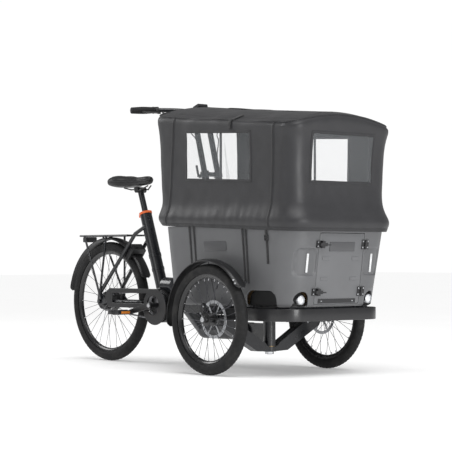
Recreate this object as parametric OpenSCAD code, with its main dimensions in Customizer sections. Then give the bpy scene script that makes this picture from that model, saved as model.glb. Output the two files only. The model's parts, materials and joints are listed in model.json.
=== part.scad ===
// Three-wheeled cargo bicycle: two front wheels and a rain-hooded box that steer as one
// carrier about a king pin, and a motor-assisted rear frame with one driven wheel.
// +X forward, +Y to the rider's left, +Z up.  The origin lies on the ground, midway along.

/* [Overall] */
// Distance between the rear and the front axle
wheelbase = 1258; // [1040:1:1520]
// Distance between the middle planes of the front wheels
track = 761; // [740:1:920]
// How far ahead of the rear axle the origin lies
origin_ahead = 720; // [600:1:900]

/* [Wheels] */
// Outer diameter of a front tyre
front_d = 520; // [480:1:560]
// Outer diameter of the rear tyre
rear_d = 635; // [600:1:660]
// Width of every tyre
tyre_w = 54; // [44:1:58]
// Number of spokes in each wheel
spoke_count = 32; // [20:4:36]
// Thickness of a spoke
spoke_d = 2.2; // [1.8:0.1:3]
// Diameter of a front brake disc
rotor_d = 180; // [160:1:203]
// Diameter of the stub axles and of the rear axle
axle_d = 15; // [10:1:20]

/* [Rear frame] */
// Diameter of the main beam
beam_d = 88; // [60:1:92]
// Diameter of the upright seat tube
seat_tube_d = 62; // [50:1:70]
// Diameter of the head tube that the king pin turns in
head_tube_d = 60; // [50:1:64]
// Diameter of the king pin
king_pin_d = 25; // [18:1:30]
// Diameter of the seat stays and chain stays
stay_d = 20; // [14:1:22]
// Diameter of the seat post
seatpost_d = 31; // [25:0.5:34]
// Length of the saddle
saddle_l = 272; // [230:1:320]
// Width of the saddle
saddle_w = 205; // [150:1:240]
// Length of the rear rack
rack_l = 455; // [380:1:470]

/* [Drive] */
// Distance from the crank axis to a pedal axis
crank_l = 165; // [140:1:175]
// Radius of the chain where it wraps the chainring
chainring_r = 74; // [60:1:80]
// Radius of the chain where it wraps the sprocket
sprocket_r = 38; // [30:1:42]
// Diameter of the crank spindle
spindle_d = 24; // [18:1:28]

/* [Box] */
// Length of the box at its floor
box_floor_l = 876; // [730:1:900]
// Length of the box at its rim
box_rim_l = 956; // [900:1:1000]
// Width of the box at its floor
box_floor_w = 594; // [500:1:600]
// Width of the box at its rim
box_rim_w = 652; // [600:1:660]
// Height of the box, floor to rim
box_h = 378; // [320:1:400]
// Radius of the box's upright corners
box_corner = 115; // [80:1:130]
// Thickness of the moulded wall
box_wall = 7; // [5:0.5:9]
// Width of the front door
door_w = 286; // [240:1:290]
// Gap around the door
door_gap = 2.5; // [1.5:0.5:4]
// Height of the bumper band
bumper_h = 57; // [40:1:60]

/* [Hood] */
// Height of the hood's side edge above the box rim, at its rear end
hood_rise = 541; // [450:1:600]
// How much lower that edge is at the front end
hood_fall = 88; // [40:1:110]
// Arch of the roof above its side edges
hood_crown = 52; // [30:1:70]
// Thickness of the cloth
cloth_t = 3; // [2:0.5:4]
// Length of a side window
window_l = 466; // [300:1:520]
// Height of a side window
window_h = 218; // [120:1:240]
// Width of the front and rear windows
window_w = 400; // [300:1:410]

/* [Handlebar] */
// Width of the handlebar over its grips
bar_w = 680; // [600:1:720]
// Diameter of each mast tube that slides in the column
mast_d = 29; // [24:1:32]
// Distance between the two mast tubes
mast_gap = 86; // [76:1:92]

/* [Hidden] */

$fn = 48;
run_gap = 0.05;      // radial clearance of a part that turns on another
slip = 0.3;          // clearance between parts that only lie beside each other
front_r = front_d / 2;
rear_r = rear_d / 2;
front_x = wheelbase;
side_y = track / 2;

// Wheels, drawn about their own axis
rim_inset = 7;       // how far the tyre's lips reach in past its round section
rim_depth = 20;
rim_half = 15;
tyre_wall = 5;
flange_r = 30;
function rim_r(wheel_r) = wheel_r - tyre_w + rim_inset;

// King pin and head tube
head_low = 124;
head_high = 278;
lug_h = 24;
bush_flange = 1.7;
neck_w = 50;
beam_low_z = 190;

// Rear frame points, from the rear axle's ground point
crank_x = 462;
crank_z = 305;
motor_r = 87;
motor_half = 44;
seat_top = [303, 0, 775];
seat_foot = [440, 0, 392];
beam_path = [[470, 0, 405], [545, 0, 402], [790, 0, beam_low_z], [front_x - 118, 0, beam_low_z]];
seat_dir = (seat_top - seat_foot) / norm(seat_top - seat_foot);
dropout_y = 74;
stay_foot_y = 66;
chain_y = -50;
guard_y = -82;
crank_y = 103;
crank_tilt = 13;
pedal_y = 168;
pedal_w = 92;
fender_gap = 22;
fender_t = 2.5;
fender_w = tyre_w + 12;
post_top = seat_top + 135 * seat_dir;
saddle_z = 951;
rack_z = 667;
rack_half = 62;
deck_half = 24;      // half width of the flat strip along the rack

// Box and hood
box_z = 322;
rim_z = box_z + box_h;
floor_back = front_x - 421;
rim_back = front_x - 446;
floor_front = floor_back + box_floor_l;
rim_front = rim_back + box_rim_l;
front_lean = atan2(rim_front - floor_front, box_h);
channel_half = 78;
channel_x = front_x - 322;
door_low = box_z + 13;
door_high = box_z + 338;
hinge_y = door_w / 2 + 7;
hood_half = box_rim_w / 2 - 4;
hood_back = rim_back - 40;
hood_front = rim_front + 7;
rail_y = 235;
rail_h = 40;
bumper_half = box_floor_w / 2 + 21;
bumper_top = box_z - 7;
bumper_front = floor_front + 9;

// Column and handlebar
mast_dir = [-0.27, 0, 0.963] / norm([-0.27, 0, 0.963]);
clamp_at = [front_x - 430, 0, 978];
mast_top = clamp_at + 296 * mast_dir;
column_d = mast_d + 7;
bar_at = mast_top + [-8, 0, 18];
bar_d = 22.2;
bar_bend = [bar_at.x - 18, 120, bar_at.z + 6];
grip_in = [bar_at.x - 72, 205, bar_at.z + 6];
grip_out = [bar_at.x - 122, bar_w / 2, bar_at.z];
grip_dir = (grip_out - grip_in) / norm(grip_out - grip_in);
lever_at = grip_in + 12 * grip_dir + [20, 0, -14];
// The bar's own line from its middle to the left end
bar_line = [bar_at, bar_bend, grip_in, grip_out];
// How far the mast tubes reach down inside the column
mast_hidden = 110;

// ---------- helpers ----------

// Places the whole bicycle about its origin
module placed() {
    translate([-origin_ahead, 0, 0]) children();
}

// A round bar between two points
module rod(p, q, d) {
    v = q - p;
    translate(p)
        rotate([0, acos(v.z / norm(v)), atan2(v.y, v.x)])
            cylinder(h = norm(v), d = d);
}

// A round bar through several points, with ball elbows
module bent_rod(points, d) {
    for (i = [0 : len(points) - 2]) rod(points[i], points[i + 1], d);
    for (i = [1 : 1 : len(points) - 2]) translate(points[i]) sphere(d = d * 1.01);
}

// A round bar through several points, with a short collar over each bend
collar_over = 1;
collar_past = 1.5;
module collared_rod(points, d) {
    for (i = [0 : len(points) - 2]) rod(points[i], points[i + 1], d);
    for (i = [1 : len(points) - 2]) {
        before = points[i] - points[i - 1];
        after = points[i + 1] - points[i];
        turn = after / norm(after) - before / norm(before);
        sum = after / norm(after) + before / norm(before);
        reach = (d / 2 * norm(turn) / norm(sum) + collar_past) * sum / norm(sum);
        rod(points[i] - reach, points[i] + reach, d + collar_over);
    }
}

// The same piece on both sides
module both_sides() {
    children();
    mirror([0, 1, 0]) children();
}

// Turns a shape drawn about Z into one about the wheel's axle
module wheel_at(x, y, z) {
    translate([x, y, z]) rotate([90, 0, 0]) children();
}

// A flat outline in the XZ plane, grown from y_low to y_high
module side_plate(y_low, y_high) {
    translate([0, y_high, 0]) rotate([90, 0, 0]) linear_extrude(y_high - y_low) children();
}

// A block by its two opposite corners
module block(low, high) {
    translate(low) cube(high - low);
}

// A rectangle with round corners, centred
module round_rect(w, h, r) {
    square([w - 2 * r, h], center = true);
    square([w, h - 2 * r], center = true);
    for (sx = [-1, 1], sy = [-1, 1])
        translate([sx * (w / 2 - r), sy * (h / 2 - r)]) circle(r);
}

// Closed outline of a rounded rectangle, whose rear side may dip in towards the front
// and which rises by an arch towards its middle line
arc_steps = 6;
dip_steps = 8;
dip_half = 150;
function ring_z(x, y, r) =
    r[4] + (r[5] - r[4]) * (x - r[0]) / (r[1] - r[0]) + r[7] * (1 - pow(y / r[2], 2));
function corner(cx, cy, r, start) = [
    for (k = [0 : arc_steps]) let (a = start + 90 * k / arc_steps) [cx + r * cos(a), cy + r * sin(a)]
];
function rear_side(r) = [
    for (k = [1 : dip_steps - 1])
        let (y = dip_half * (1 - 2 * k / dip_steps), a = 90 * pow(y / dip_half, 2))
                [r[0] + r[6] * pow(cos(a), 2), y]
];
// r = [back, front, half width, corner, z at back, z at front, dip, arch]
function ring(r) = [
    for (p = concat(
        corner(r[1] - r[3], r[2] - r[3], r[3], 0),
        corner(r[0] + r[3], r[2] - r[3], r[3], 90),
        rear_side(r),
        corner(r[0] + r[3], r[3] - r[2], r[3], 180),
        corner(r[1] - r[3], r[3] - r[2], r[3], 270)
    )) [p.x, p.y, ring_z(p.x, p.y, r)]
];

// A closed body through a stack of rings
module loft(rings) {
    n = 4 * (arc_steps + 1) + dip_steps - 1;
    m = len(rings);
    low = rings[0];
    top = rings[m - 1];
    middle = function (r) [(r[0] + r[1]) / 2, 0, ring_z((r[0] + r[1]) / 2, 0, r)];
    points = concat([for (r = rings) each ring(r)], [middle(low), middle(top)]);
    faces = [
        for (i = [0 : m - 2], k = [0 : n - 1])
            let (a = i * n + k, b = i * n + (k + 1) % n)
                each [[a, a + n, b], [b, a + n, b + n]],
        for (k = [0 : n - 1]) [k, (k + 1) % n, m * n],
        for (k = [0 : n - 1]) [(m - 1) * n + (k + 1) % n, (m - 1) * n + k, m * n + 1]
    ];
    polyhedron(points, faces, convexity = 6);
}

// A tube swept along points, with a ring of sides at each
function ring_frame(d) = let (u = cross(d, [0.2, 0.9, 0.3])) u / norm(u);
module swept_tube(points, d, sides = 8) {
    m = len(points);
    dir = [for (i = [0 : m - 1]) points[min(i + 1, m - 1)] - points[max(i - 1, 0)]];
    verts = [
        for (i = [0 : m - 1])
            let (t = dir[i] / norm(dir[i]), u = ring_frame(t), v = cross(t, u))
                for (k = [0 : sides - 1])
                    let (a = 360 * k / sides) points[i] + d / 2 * (cos(a) * u + sin(a) * v)
    ];
    faces = [
        for (i = [0 : m - 2], k = [0 : sides - 1])
            let (a = i * sides + k, b = i * sides + (k + 1) % sides)
                each [[a, a + sides, b], [b, a + sides, b + sides]],
        [for (k = [0 : sides - 1]) k],
        [for (k = [sides - 1 : -1 : 0]) (m - 1) * sides + k]
    ];
    polyhedron(verts, faces);
}

// A smooth curve through chosen points, as more points
function curve_point(a, b, c, d, t) =
    0.5 * (2 * b + (c - a) * t + (2 * a - 5 * b + 4 * c - d) * t * t
        + (3 * b - a - 3 * c + d) * t * t * t);
function smooth(p, steps) = [
    for (i = [0 : len(p) - 2], k = [0 : steps - 1])
        curve_point(p[max(i - 1, 0)], p[i], p[i + 1], p[min(i + 2, len(p) - 1)], k / steps),
    p[len(p) - 1]
];

// ---------- wheels ----------

module tyre(wheel_r) {
    rotate_extrude($fn = 96) difference() {
        translate([wheel_r - tyre_w / 2, 0]) circle(d = tyre_w);
        translate([wheel_r - tyre_w / 2, 0]) circle(d = tyre_w - 2 * tyre_wall);
        translate([0, -tyre_w]) square([rim_r(wheel_r), 2 * tyre_w]);
    }
}

module rim(wheel_r) {
    r = rim_r(wheel_r);
    rotate_extrude($fn = 96) polygon([
        [r, -rim_half], [r, rim_half], [r - 8, rim_half - 1],
        [r - rim_depth, 6], [r - rim_depth, -6], [r - 8, 1 - rim_half]
    ]);
}

module spokes(wheel_r, flange_low, flange_high, flange = flange_r) {
    outer = rim_r(wheel_r) - rim_depth - slip;
    inner = flange + slip;
    sweep = 12;
    for (i = [0 : spoke_count - 1]) {
        upper = i % 2 == 0;
        a = 360 * i / spoke_count;
        b = a + (upper ? sweep : -sweep);
        start = [inner * cos(b), inner * sin(b), upper ? flange_high : flange_low];
        end = [outer * cos(a), outer * sin(a), upper ? 3 : -3];
        rod(start, end, spoke_d);
    }
}

module hub(low, high, flange_low, flange_high, barrel_r, flange = flange_r) {
    rotate_extrude() polygon([
        [axle_d / 2 + run_gap, low], [barrel_r - 4, low], [barrel_r, flange_low - 4],
        [flange, flange_low - 2], [flange, flange_low + 2], [barrel_r, flange_low + 6],
        [barrel_r, flange_high - 6], [flange, flange_high - 2], [flange, flange_high + 2],
        [barrel_r, flange_high + 4], [barrel_r - 4, high], [axle_d / 2 + run_gap, high]
    ]);
}

rotor_in = 29;       // distance of the disc inboard of the wheel's middle plane
rotor_t = 2;
rotor_bolt_r = 22;
module rotor_disc() {
    band = 15;
    difference() {
        union() {
            difference() {
                cylinder(h = rotor_t, d = rotor_d, center = true);
                cylinder(h = 2 * rotor_t, d = rotor_d - 2 * band, center = true);
            }
            difference() {
                cylinder(h = rotor_t, r = rotor_bolt_r + 8, center = true);
                cylinder(h = 2 * rotor_t, r = 17, center = true);
            }
            for (a = [0 : 60 : 300]) rotate(a)
                translate([rotor_bolt_r + 4, -4, -rotor_t / 2])
                    cube([rotor_d / 2 - band - rotor_bolt_r + 2, 8, rotor_t]);
        }
        for (a = [0 : 30 : 330]) rotate(a + 8) translate([rotor_d / 2 - band / 2, 0, 0])
            cylinder(h = 2 * rotor_t, r = 2.6, center = true);
        for (a = [0 : 60 : 300]) rotate(a) translate([rotor_bolt_r, 0, 0])
            cylinder(h = 2 * rotor_t, r = 2.7, center = true);
    }
}

module rear_tyre() {
    color("#1b1b1d") wheel_at(0, 0, rear_r) tyre(rear_r);
}

module rear_rim() {
    color("#17171a") wheel_at(0, 0, rear_r) rim(rear_r);
}

rear_flange = 52;
module rear_spokes() {
    color("#2a2a2c") wheel_at(0, 0, rear_r) spokes(rear_r, -27, 27, rear_flange);
}

// Hub with its planetary gear inside, and the sprocket on its right side
module rear_hub() {
    nose_r = sprocket_r - 12;
    color("#1e1e20") wheel_at(0, 0, rear_r) {
        hub(-50, 42, -27, 27, 40, rear_flange);
        difference() {
            translate([0, 0, 42]) cylinder(h = 12, r = nose_r);
            cylinder(h = 80, r = axle_d / 2 + run_gap);
        }
    }
    color("silver") wheel_at(0, chain_y, rear_r) difference() {
        cylinder(h = 3, r = sprocket_r - 4, center = true);
        cylinder(h = 4, r = nose_r + run_gap, center = true);
    }
}

module front_wheel_at(side) {
    wheel_at(front_x, side * side_y, front_r) mirror([0, 0, side > 0 ? 1 : 0]) children();
}

module front_tyre(side) {
    color("#1b1b1d") front_wheel_at(side) tyre(front_r);
}

module front_rim(side) {
    color("#17171a") front_wheel_at(side) rim(front_r);
}

module front_spokes(side) {
    color("#2a2a2c") front_wheel_at(side) spokes(front_r, -20, 20);
}

// Local -Z points inboard, towards the brake disc
module front_hub(side) {
    low = rotor_t / 2 - rotor_in;
    color("#1e1e20") front_wheel_at(side) {
        hub(low, 36, -20, 20, 17);
        difference() {
            translate([0, 0, low]) cylinder(h = 4, r = rotor_bolt_r + 6);
            cylinder(h = 80, r = axle_d / 2 + run_gap, center = true);
        }
    }
}

module front_rotor(side) {
    color("silver") front_wheel_at(side) translate([0, 0, -rotor_in - slip]) rotor_disc();
}

// ---------- rear frame ----------

module beam_solid(extra = 0) {
    bent_rod(beam_path, beam_d + 2 * extra);
}

module main_frame() {
    color("#16171c") difference() {
        union() {
            beam_solid();
            rod(seat_foot, seat_top, seat_tube_d);
            block([front_x - 150, -neck_w / 2, beam_low_z - beam_d / 2 + 3],
                  [front_x - 10, neck_w / 2, beam_low_z + beam_d / 2 - 3]);
            translate([front_x, 0, head_low]) cylinder(h = head_high - head_low, d = head_tube_d);
        }
        translate([front_x, 0, head_low - 1])
            cylinder(h = head_high - head_low + 2, d = head_tube_d - 16);
        rod(seat_top + 10 * seat_dir, seat_top - 330 * seat_dir, seatpost_d + 2 * run_gap);
    }
}

module steering_bushes() {
    for (top = [0, 1]) {
        translate([front_x, 0, top ? head_high : head_low]) mirror([0, 0, top])
            color("goldenrod") difference() {
                union() {
                    cylinder(h = 30, d = head_tube_d - 16 - 0.1);
                    translate([0, 0, -bush_flange]) cylinder(h = bush_flange, d = head_tube_d - 4);
                }
                translate([0, 0, -bush_flange - 1])
                    cylinder(h = 34, d = king_pin_d + 2 * run_gap);
            }
    }
}

stay_top = seat_top - 62 * seat_dir;
stay_y = 52;
module seat_stay() {
    foot = [-6, stay_foot_y, rear_r + 46];
    bent_rod([[stay_top.x + 6, 24, stay_top.z - 4], [stay_top.x - 44, stay_y, stay_top.z - 42], foot],
             stay_d);
}

module chain_stay() {
    bent_rod([[46, stay_foot_y, rear_r], [300, 54, crank_z + 12], [396, 36, crank_z + 10]], stay_d - 2);
}

module dropout() {
    side_plate(dropout_y - 6, dropout_y) difference() {
        hull() {
            translate([0, rear_r]) circle(22, $fn = 32);
            translate([-6, rear_r + 48]) circle(9, $fn = 32);
            translate([50, rear_r]) circle(8, $fn = 32);
        }
        translate([0, rear_r]) circle(axle_d / 2 + run_gap);
    }
}

// Stays and axle plates, with the axle that is bolted between them
module rear_triangle() {
    color("#16171c") both_sides() difference() {
        union() {
            seat_stay();
            chain_stay();
            dropout();
        }
        rod(seat_foot, seat_top, seat_tube_d + 2 * slip);
        wheel_at(crank_x + 12, 0, crank_z - 2) cylinder(h = 300, r = motor_r + slip, center = true);
        rotate([-90, 0, 0]) translate([0, -rear_r, 0])
            cylinder(h = 200, d = axle_d + 2 * run_gap);
    }
    color("silver") wheel_at(0, 0, rear_r) {
        cylinder(h = 2 * dropout_y + 10, d = axle_d, center = true);
        for (end = [-1, 1]) translate([0, 0, end * (dropout_y + 5)])
            cylinder(h = 10 - 2 * slip, r = 12, center = true, $fn = 6);
    }
}

module motor() {
    color("#202124") difference() {
        union() {
            wheel_at(crank_x + 12, 0, crank_z - 2) cylinder(h = 2 * motor_half, r = motor_r, center = true);
            block([crank_x - 10, -38, crank_z - 8], [crank_x + 110, 38, crank_z + 60]);
        }
        beam_solid(slip);
        rod(seat_foot, seat_top, seat_tube_d + 2 * slip);
        wheel_at(crank_x, 0, crank_z) cylinder(h = 300, d = spindle_d + 2 * run_gap, center = true);
    }
}

// Plate with a round eye about the crank and a slot along the chain
module chain_guard() {
    round_r = chainring_r + 19;
    arm = 24;
    color("#2b2c30") side_plate(guard_y, guard_y + 6) difference() {
        union() {
            translate([crank_x + 12, crank_z - 8]) circle(round_r);
            translate([90, rear_r + sprocket_r + 10]) square([crank_x - 78, arm]);
            translate([76, crank_z - 16]) square([crank_x - 64, arm]);
            translate([102, crank_z + 37]) circle(r = 45);
        }
        translate([crank_x, crank_z]) circle(49);
        translate([120, crank_z + 8]) square([crank_x - 195, rear_r + sprocket_r + 2 - crank_z]);
    }
    for (seat = [[190, 68.8], [350, 53.6]])
        color("#2b2c30") block([seat[0], guard_y + 6, crank_z - 2], [seat[0] + 12, -seat[1], crank_z + 18]);
}

module chain_outline(grow) {
    hull() {
        translate([0, rear_r]) circle(sprocket_r + grow, $fn = 40);
        translate([crank_x, crank_z]) circle(chainring_r + grow, $fn = 64);
    }
}

module chain() {
    color("#6f7073") side_plate(chain_y - 4, chain_y + 4) difference() {
        chain_outline(4);
        chain_outline(-3);
    }
}

// A mudguard band of the given radius over the angles from start to end
module fender_band(r, start, end) {
    rotate(start) rotate_extrude(angle = end - start, $fn = 128) {
        translate([r, -fender_w / 2]) square([fender_t, fender_w]);
        for (s = [-1, 1]) translate([r - 8, s * (fender_w - fender_t) / 2 - fender_t / 2])
            square([8 + fender_t, fender_t]);
    }
}

module rear_fender() {
    color("#141416") translate([0, 0, rear_r]) rotate([90, 0, 0])
        fender_band(rear_r + fender_gap, 22, 171);
}

module rack() {
    rail = 10;
    front = 258;
    back = front - rack_l;
    foot = [12, dropout_y + 6, rear_r + 24];
    color("#151517") {
        both_sides() {
            rod([back, rack_half, rack_z], [front, rack_half, rack_z], rail);
            bent_rod([[back + 45, rack_half, rack_z], foot + [0, 3, 8], foot], rail - 1);
            rod([back + 238, rack_half, rack_z], foot + [0, 3, 8], rail - 1);
        }
        for (x = [back, back + 70, 0, back + 330])
            rod([x, -rack_half, rack_z], [x, rack_half, rack_z], rail);
        block([back + 66, -deck_half, rack_z - 2], [back + 334, deck_half, rack_z + rail / 2]);
        block([-7, -9, rear_r * 2 + fender_gap + fender_t + slip], [7, 9, rack_z]);
    }
}

module rear_light() {
    back = 258 - rack_l;
    color("#3a0f10") block([back - 4, -42, rack_z - 34], [back + 20, 42, rack_z - 5 - slip]);
}

// Ring lock: a yoke over the wheel, between the seat stays
lock_angle = 50.6;
module ring_lock() {
    low = rear_r + fender_gap + fender_t;
    half = 44.4;
    color("#121214") translate([0, 0, rear_r]) rotate([0, -lock_angle, 0]) {
        difference() {
            block([low - 44, -half, -22], [low + 34, half, 22]);
            block([low - 60, -fender_w / 2 - 1, -30], [low + slip, fender_w / 2 + 1, 30]);
            for (s = [-1, 1]) translate([low + 34, s * half, 0]) rotate([0, 0, 45])
                cube([14, 14, 60], center = true);
        }
        translate([low + 34, -12, 0]) rotate([0, 90, 0]) cylinder(h = 7, r = 11);
    }
}

collar_h = 26;
module at_collar() {
    translate(seat_top) rotate([0, -atan2(-seat_dir.x, seat_dir.z), 0]) children();
}

module seat_collar() {
    color("#f0602a") at_collar() difference() {
        union() {
            translate([0, 0, slip]) cylinder(h = 12, d = seat_tube_d + 6);
            translate([-seat_tube_d / 2 - 18, -8, slip]) cube([26, 16, 12]);
        }
        translate([0, 0, -1]) cylinder(h = collar_h, d = seatpost_d + 2 * run_gap);
        translate([-seat_tube_d / 2 - 22, -1, -1]) cube([seat_tube_d / 2 + 12, 2, collar_h]);
        translate([-seat_tube_d / 2 - 11, 0, -1]) cylinder(h = collar_h, d = 6 + 2 * run_gap);
    }
}

// Quick-release lever that turns on a pin beside the seat tube
module collar_lever() {
    color("#f0602a") at_collar() translate([-seat_tube_d / 2 - 11, 0, 0]) {
        translate([0, 0, slip]) cylinder(h = 15, d = 6);
        translate([0, 0, 12 + 2 * slip]) cylinder(h = 7, d = 16);
        translate([-5, 0, 12 + 2 * slip]) cube([10, 58, 7]);
    }
}

// ---------- seat ----------

module seatpost() {
    color("#1a1a1c") rod(seat_top - 160 * seat_dir, post_top, seatpost_d);
}

rail_d = 7;
module saddle_rails() {
    under = saddle_z - 40;
    color("#3b3c3f") {
        for (side = [-1, 1])
            collared_rod([[post_top.x - 95, side * 34, under + 6.0], [post_top.x - 50, side * 22, under - 4],
                          [post_top.x + 38, side * 22, under - 4], [post_top.x + 76, side * 10, under + 14.2]],
                         rail_d);
        difference() {
            translate([post_top.x, -30, under - 6]) rotate([-90, 0, 0]) cylinder(h = 60, d = 30);
            rod(post_top - 60 * seat_dir, post_top + slip * seat_dir, seatpost_d + 2 * slip);
        }
    }
}

saddle_nose = 92;
module saddle() {
    nose = post_top.x + saddle_nose;
    tail = nose - saddle_l;
    color("#1a1a1c") hull() {
        for (s = [-1, 1]) translate([tail + 48, s * (saddle_w / 2 - 30), saddle_z - 2])
            sphere(r = 30, $fn = 24);
        translate([tail + 30, 0, saddle_z]) sphere(r = 30, $fn = 24);
        translate([nose - 23, 0, saddle_z + 2]) sphere(r = 23, $fn = 24);
        translate([nose - 130, 0, saddle_z + 1]) sphere(r = 29, $fn = 24);
    }
}

// ---------- drive ----------

module crank_arm(side) {
    a = side < 0 ? 180 + crank_tilt : crank_tilt;
    tip = [crank_x + crank_l * cos(a), crank_z + crank_l * sin(a)];
    side_plate(side * crank_y - 7, side * crank_y + 7) {
        hull() {
            translate([crank_x, crank_z]) circle(17, $fn = 32);
            translate(tip) circle(12, $fn = 32);
        }
    }
    wheel_at(tip.x, side * (crank_y + 57), tip.y) cylinder(h = 100, d = 14, center = true);
}

// Spindle, two arms and their pedal pins
module cranks() {
    color("#28282b") {
        wheel_at(crank_x, 0, crank_z) cylinder(h = 2 * crank_y, d = spindle_d, center = true);
        crank_arm(-1);
        crank_arm(1);
    }
}

module chainring() {
    color("#3a3b3e") wheel_at(crank_x, chain_y, crank_z) difference() {
        cylinder(h = 4, r = chainring_r - 5, center = true);
        cylinder(h = 6, d = spindle_d + 2 * run_gap, center = true);
        for (a = [0 : 72 : 288]) rotate(a) translate([chainring_r * 0.56, 0, 0])
            cylinder(h = 6, r = 13, center = true);
    }
}

module pedal(side) {
    a = side < 0 ? 180 + crank_tilt : crank_tilt;
    at = [crank_x + crank_l * cos(a), side * pedal_y, crank_z + crank_l * sin(a)];
    color("#232326") translate(at) difference() {
        union() {
            block([-46, -pedal_w / 2, -11], [46, pedal_w / 2, 11]);
            rotate([90, 0, 0]) cylinder(h = pedal_w, r = 13, center = true);
        }
        for (sx = [-1, 1], sy = [-1, 1])
            translate([sx * 27, sy * 23, 0]) cube([22, 30, 40], center = true);
        rotate([90, 0, 0]) cylinder(h = pedal_w + 2, d = 14 + 2 * run_gap, center = true);
    }
}

// ---------- front carrier ----------

arm_w = 50;
arm_t = 46;
module axle_beam() {
    top_z = front_r;
    foot = [62, 122];
    knee = [side_y - 92, top_z - 8];
    color("#141518") {
        difference() {
            union() {
                translate([front_x, 0, head_low - bush_flange - slip - lug_h])
                    cylinder(h = lug_h, d = head_tube_d + 8);
                translate([front_x + arm_w / 2, 0, 0]) rotate([90, 0, -90]) linear_extrude(arm_w) {
                    for (s = [1, -1]) scale([s, 1]) polygon([
                        [0, head_low - bush_flange - slip - lug_h],
                        [foot.x + 36, head_low - bush_flange - slip - lug_h + 4],
                        [knee.x + 20, top_z - 44], [side_y - 62, top_z - 28],
                        [side_y - 62, top_z + 20], [knee.x, top_z + 20],
                        [head_tube_d / 2 + 16, head_low + 16], [head_tube_d / 2 + 3, head_low + 2],
                        [0, head_low - bush_flange - slip]
                    ]);
                }
            }
            translate([front_x, 0, 0]) cylinder(h = 400, d = king_pin_d + 2 * run_gap);
            translate([front_x, 0, head_low - bush_flange - slip])
                cylinder(h = 200, d = head_tube_d + 6);
            both_sides() translate([front_x, 0, front_r]) rotate([-90, 0, 0])
                cylinder(h = side_y, d = axle_d + 2 * run_gap);
        }
        both_sides() block([front_x - 22, rail_y - 18, front_r + 20], [front_x + 22, rail_y + 18, box_z - rail_h]);
    }
}

// Rails and cross members under the box
module chassis_frame() {
    low = box_z - rail_h;
    back = floor_back + 30;
    color("#141518") difference() {
        union() {
            both_sides() block([back, rail_y - 15, low], [bumper_front - 50, rail_y + 15, box_z]);
            for (x = [back, front_x + 330])
                block([x, -rail_y, low], [x + 36, rail_y, box_z]);
            block([front_x - 40, -rail_y, low], [front_x + 40, rail_y, box_z]);
            both_sides() block([back, mast_gap / 2 - 26, low - 14], [channel_x - 10, mast_gap / 2 + 26, low]);
            block([back, -mast_gap / 2, low], [channel_x - 10, mast_gap / 2, box_z - 12]);
        }
        translate([front_x, 0, 0]) cylinder(h = 400, d = king_pin_d + 2 * run_gap);
        for (s = [-1, 1]) translate([channel_x - 33, s * mast_gap / 2, low - 20])
            cylinder(h = 80, d = column_d + 2 * run_gap);
    }
}

// King pin with its nut, and the two stub axles
module axle_pins() {
    low = head_low - bush_flange - slip - lug_h;
    color("silver") {
        translate([front_x, 0, low - 14]) cylinder(h = box_z - low + 13, d = king_pin_d);
        translate([front_x, 0, low - 12 - slip]) cylinder(h = 12, r = 22, $fn = 6);
        both_sides() translate([front_x, side_y - 110, front_r]) rotate([-90, 0, 0]) {
            cylinder(h = 152, d = axle_d);
            translate([0, 0, 110 + 36 + slip]) cylinder(h = 8, r = 13, $fn = 6);
        }
    }
}

module bumper_outline(inset) {
    back = front_x + 40;
    r = 105 - inset;
    half = bumper_half - inset;
    front = bumper_front - inset;
    translate([back, -half]) square([front - r - back, 2 * half]);
    translate([back, r - half]) square([front - back, 2 * (half - r)]);
    for (s = [-1, 1]) translate([front - r, s * (half - r)]) circle(r, $fn = 96);
}

module bumper() {
    color("#4a4a4e") translate([0, 0, bumper_top - bumper_h]) linear_extrude(bumper_h)
        difference() {
            bumper_outline(0);
            bumper_outline(8);
            translate([front_x, 8 - bumper_half]) square([60, 2 * bumper_half - 16]);
        }
    color("#4a4a4e") both_sides() for (x = [front_x + 60, front_x + 220])
        block([x, rail_y + 15 + slip, box_z - rail_h + 2], [x + 30, bumper_half - 8, bumper_top - 8]);
}

// ---------- box ----------

function box_ring(z, inset) =
    let (t = (z - box_z) / box_h)
    [floor_back + (rim_back - floor_back) * t + inset,
     floor_front + (rim_front - floor_front) * t - inset,
     (box_floor_w + (box_rim_w - box_floor_w) * t) / 2 - inset,
     box_corner - inset, z, z, 0, 0];
function box_face_x(z) = box_ring(z, 0)[1];
function box_side_y(z) = box_ring(z, 0)[2];

// Upright recess in the rear wall that the column stands in
module channel(grow) {
    translate([floor_back - 100, -channel_half - grow, box_z - 50])
        cube([channel_x - floor_back + 100 - 30 + grow, 2 * (channel_half + grow), box_h + 100]);
    translate([channel_x - 30 + grow - 2, 0, box_z - 50]) linear_extrude(box_h + 100)
        round_rect(64, 2 * (channel_half + grow), 28);
}

module box_body() {
    difference() {
        loft([box_ring(box_z, 0), box_ring(rim_z, 0)]);
        channel(0);
        difference() {
            loft([box_ring(box_z + box_wall, box_wall), box_ring(rim_z + 10, box_wall)]);
            channel(box_wall);
        }
    }
}

// Follows the front face's lean: local X stands off the face, local Z runs up it
module on_front(z, y = 0) {
    translate([box_face_x(z), y, z]) rotate([0, front_lean, 0]) children();
}

module door_prism(gap) {
    half = door_w / 2 + gap;
    block([front_x + 300, -half, door_low - gap], [front_x + 700, half, door_high + gap]);
}

lamp_y = 217;
lamp_z = 356;
lamp_half = 37;
arch_x = front_x + 272;
arch_half = 100;
arch_top = box_z + 76;
module lamp_arch(grow, depth) {
    translate([box_face_x(lamp_z) - depth, lamp_y, 0]) rotate([90, 0, 90]) linear_extrude(200) {
        translate([0, lamp_z]) circle(lamp_half + grow);
        translate([-lamp_half - grow, box_z - 20]) square([2 * (lamp_half + grow), lamp_z - box_z + 20]);
    }
}

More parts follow.
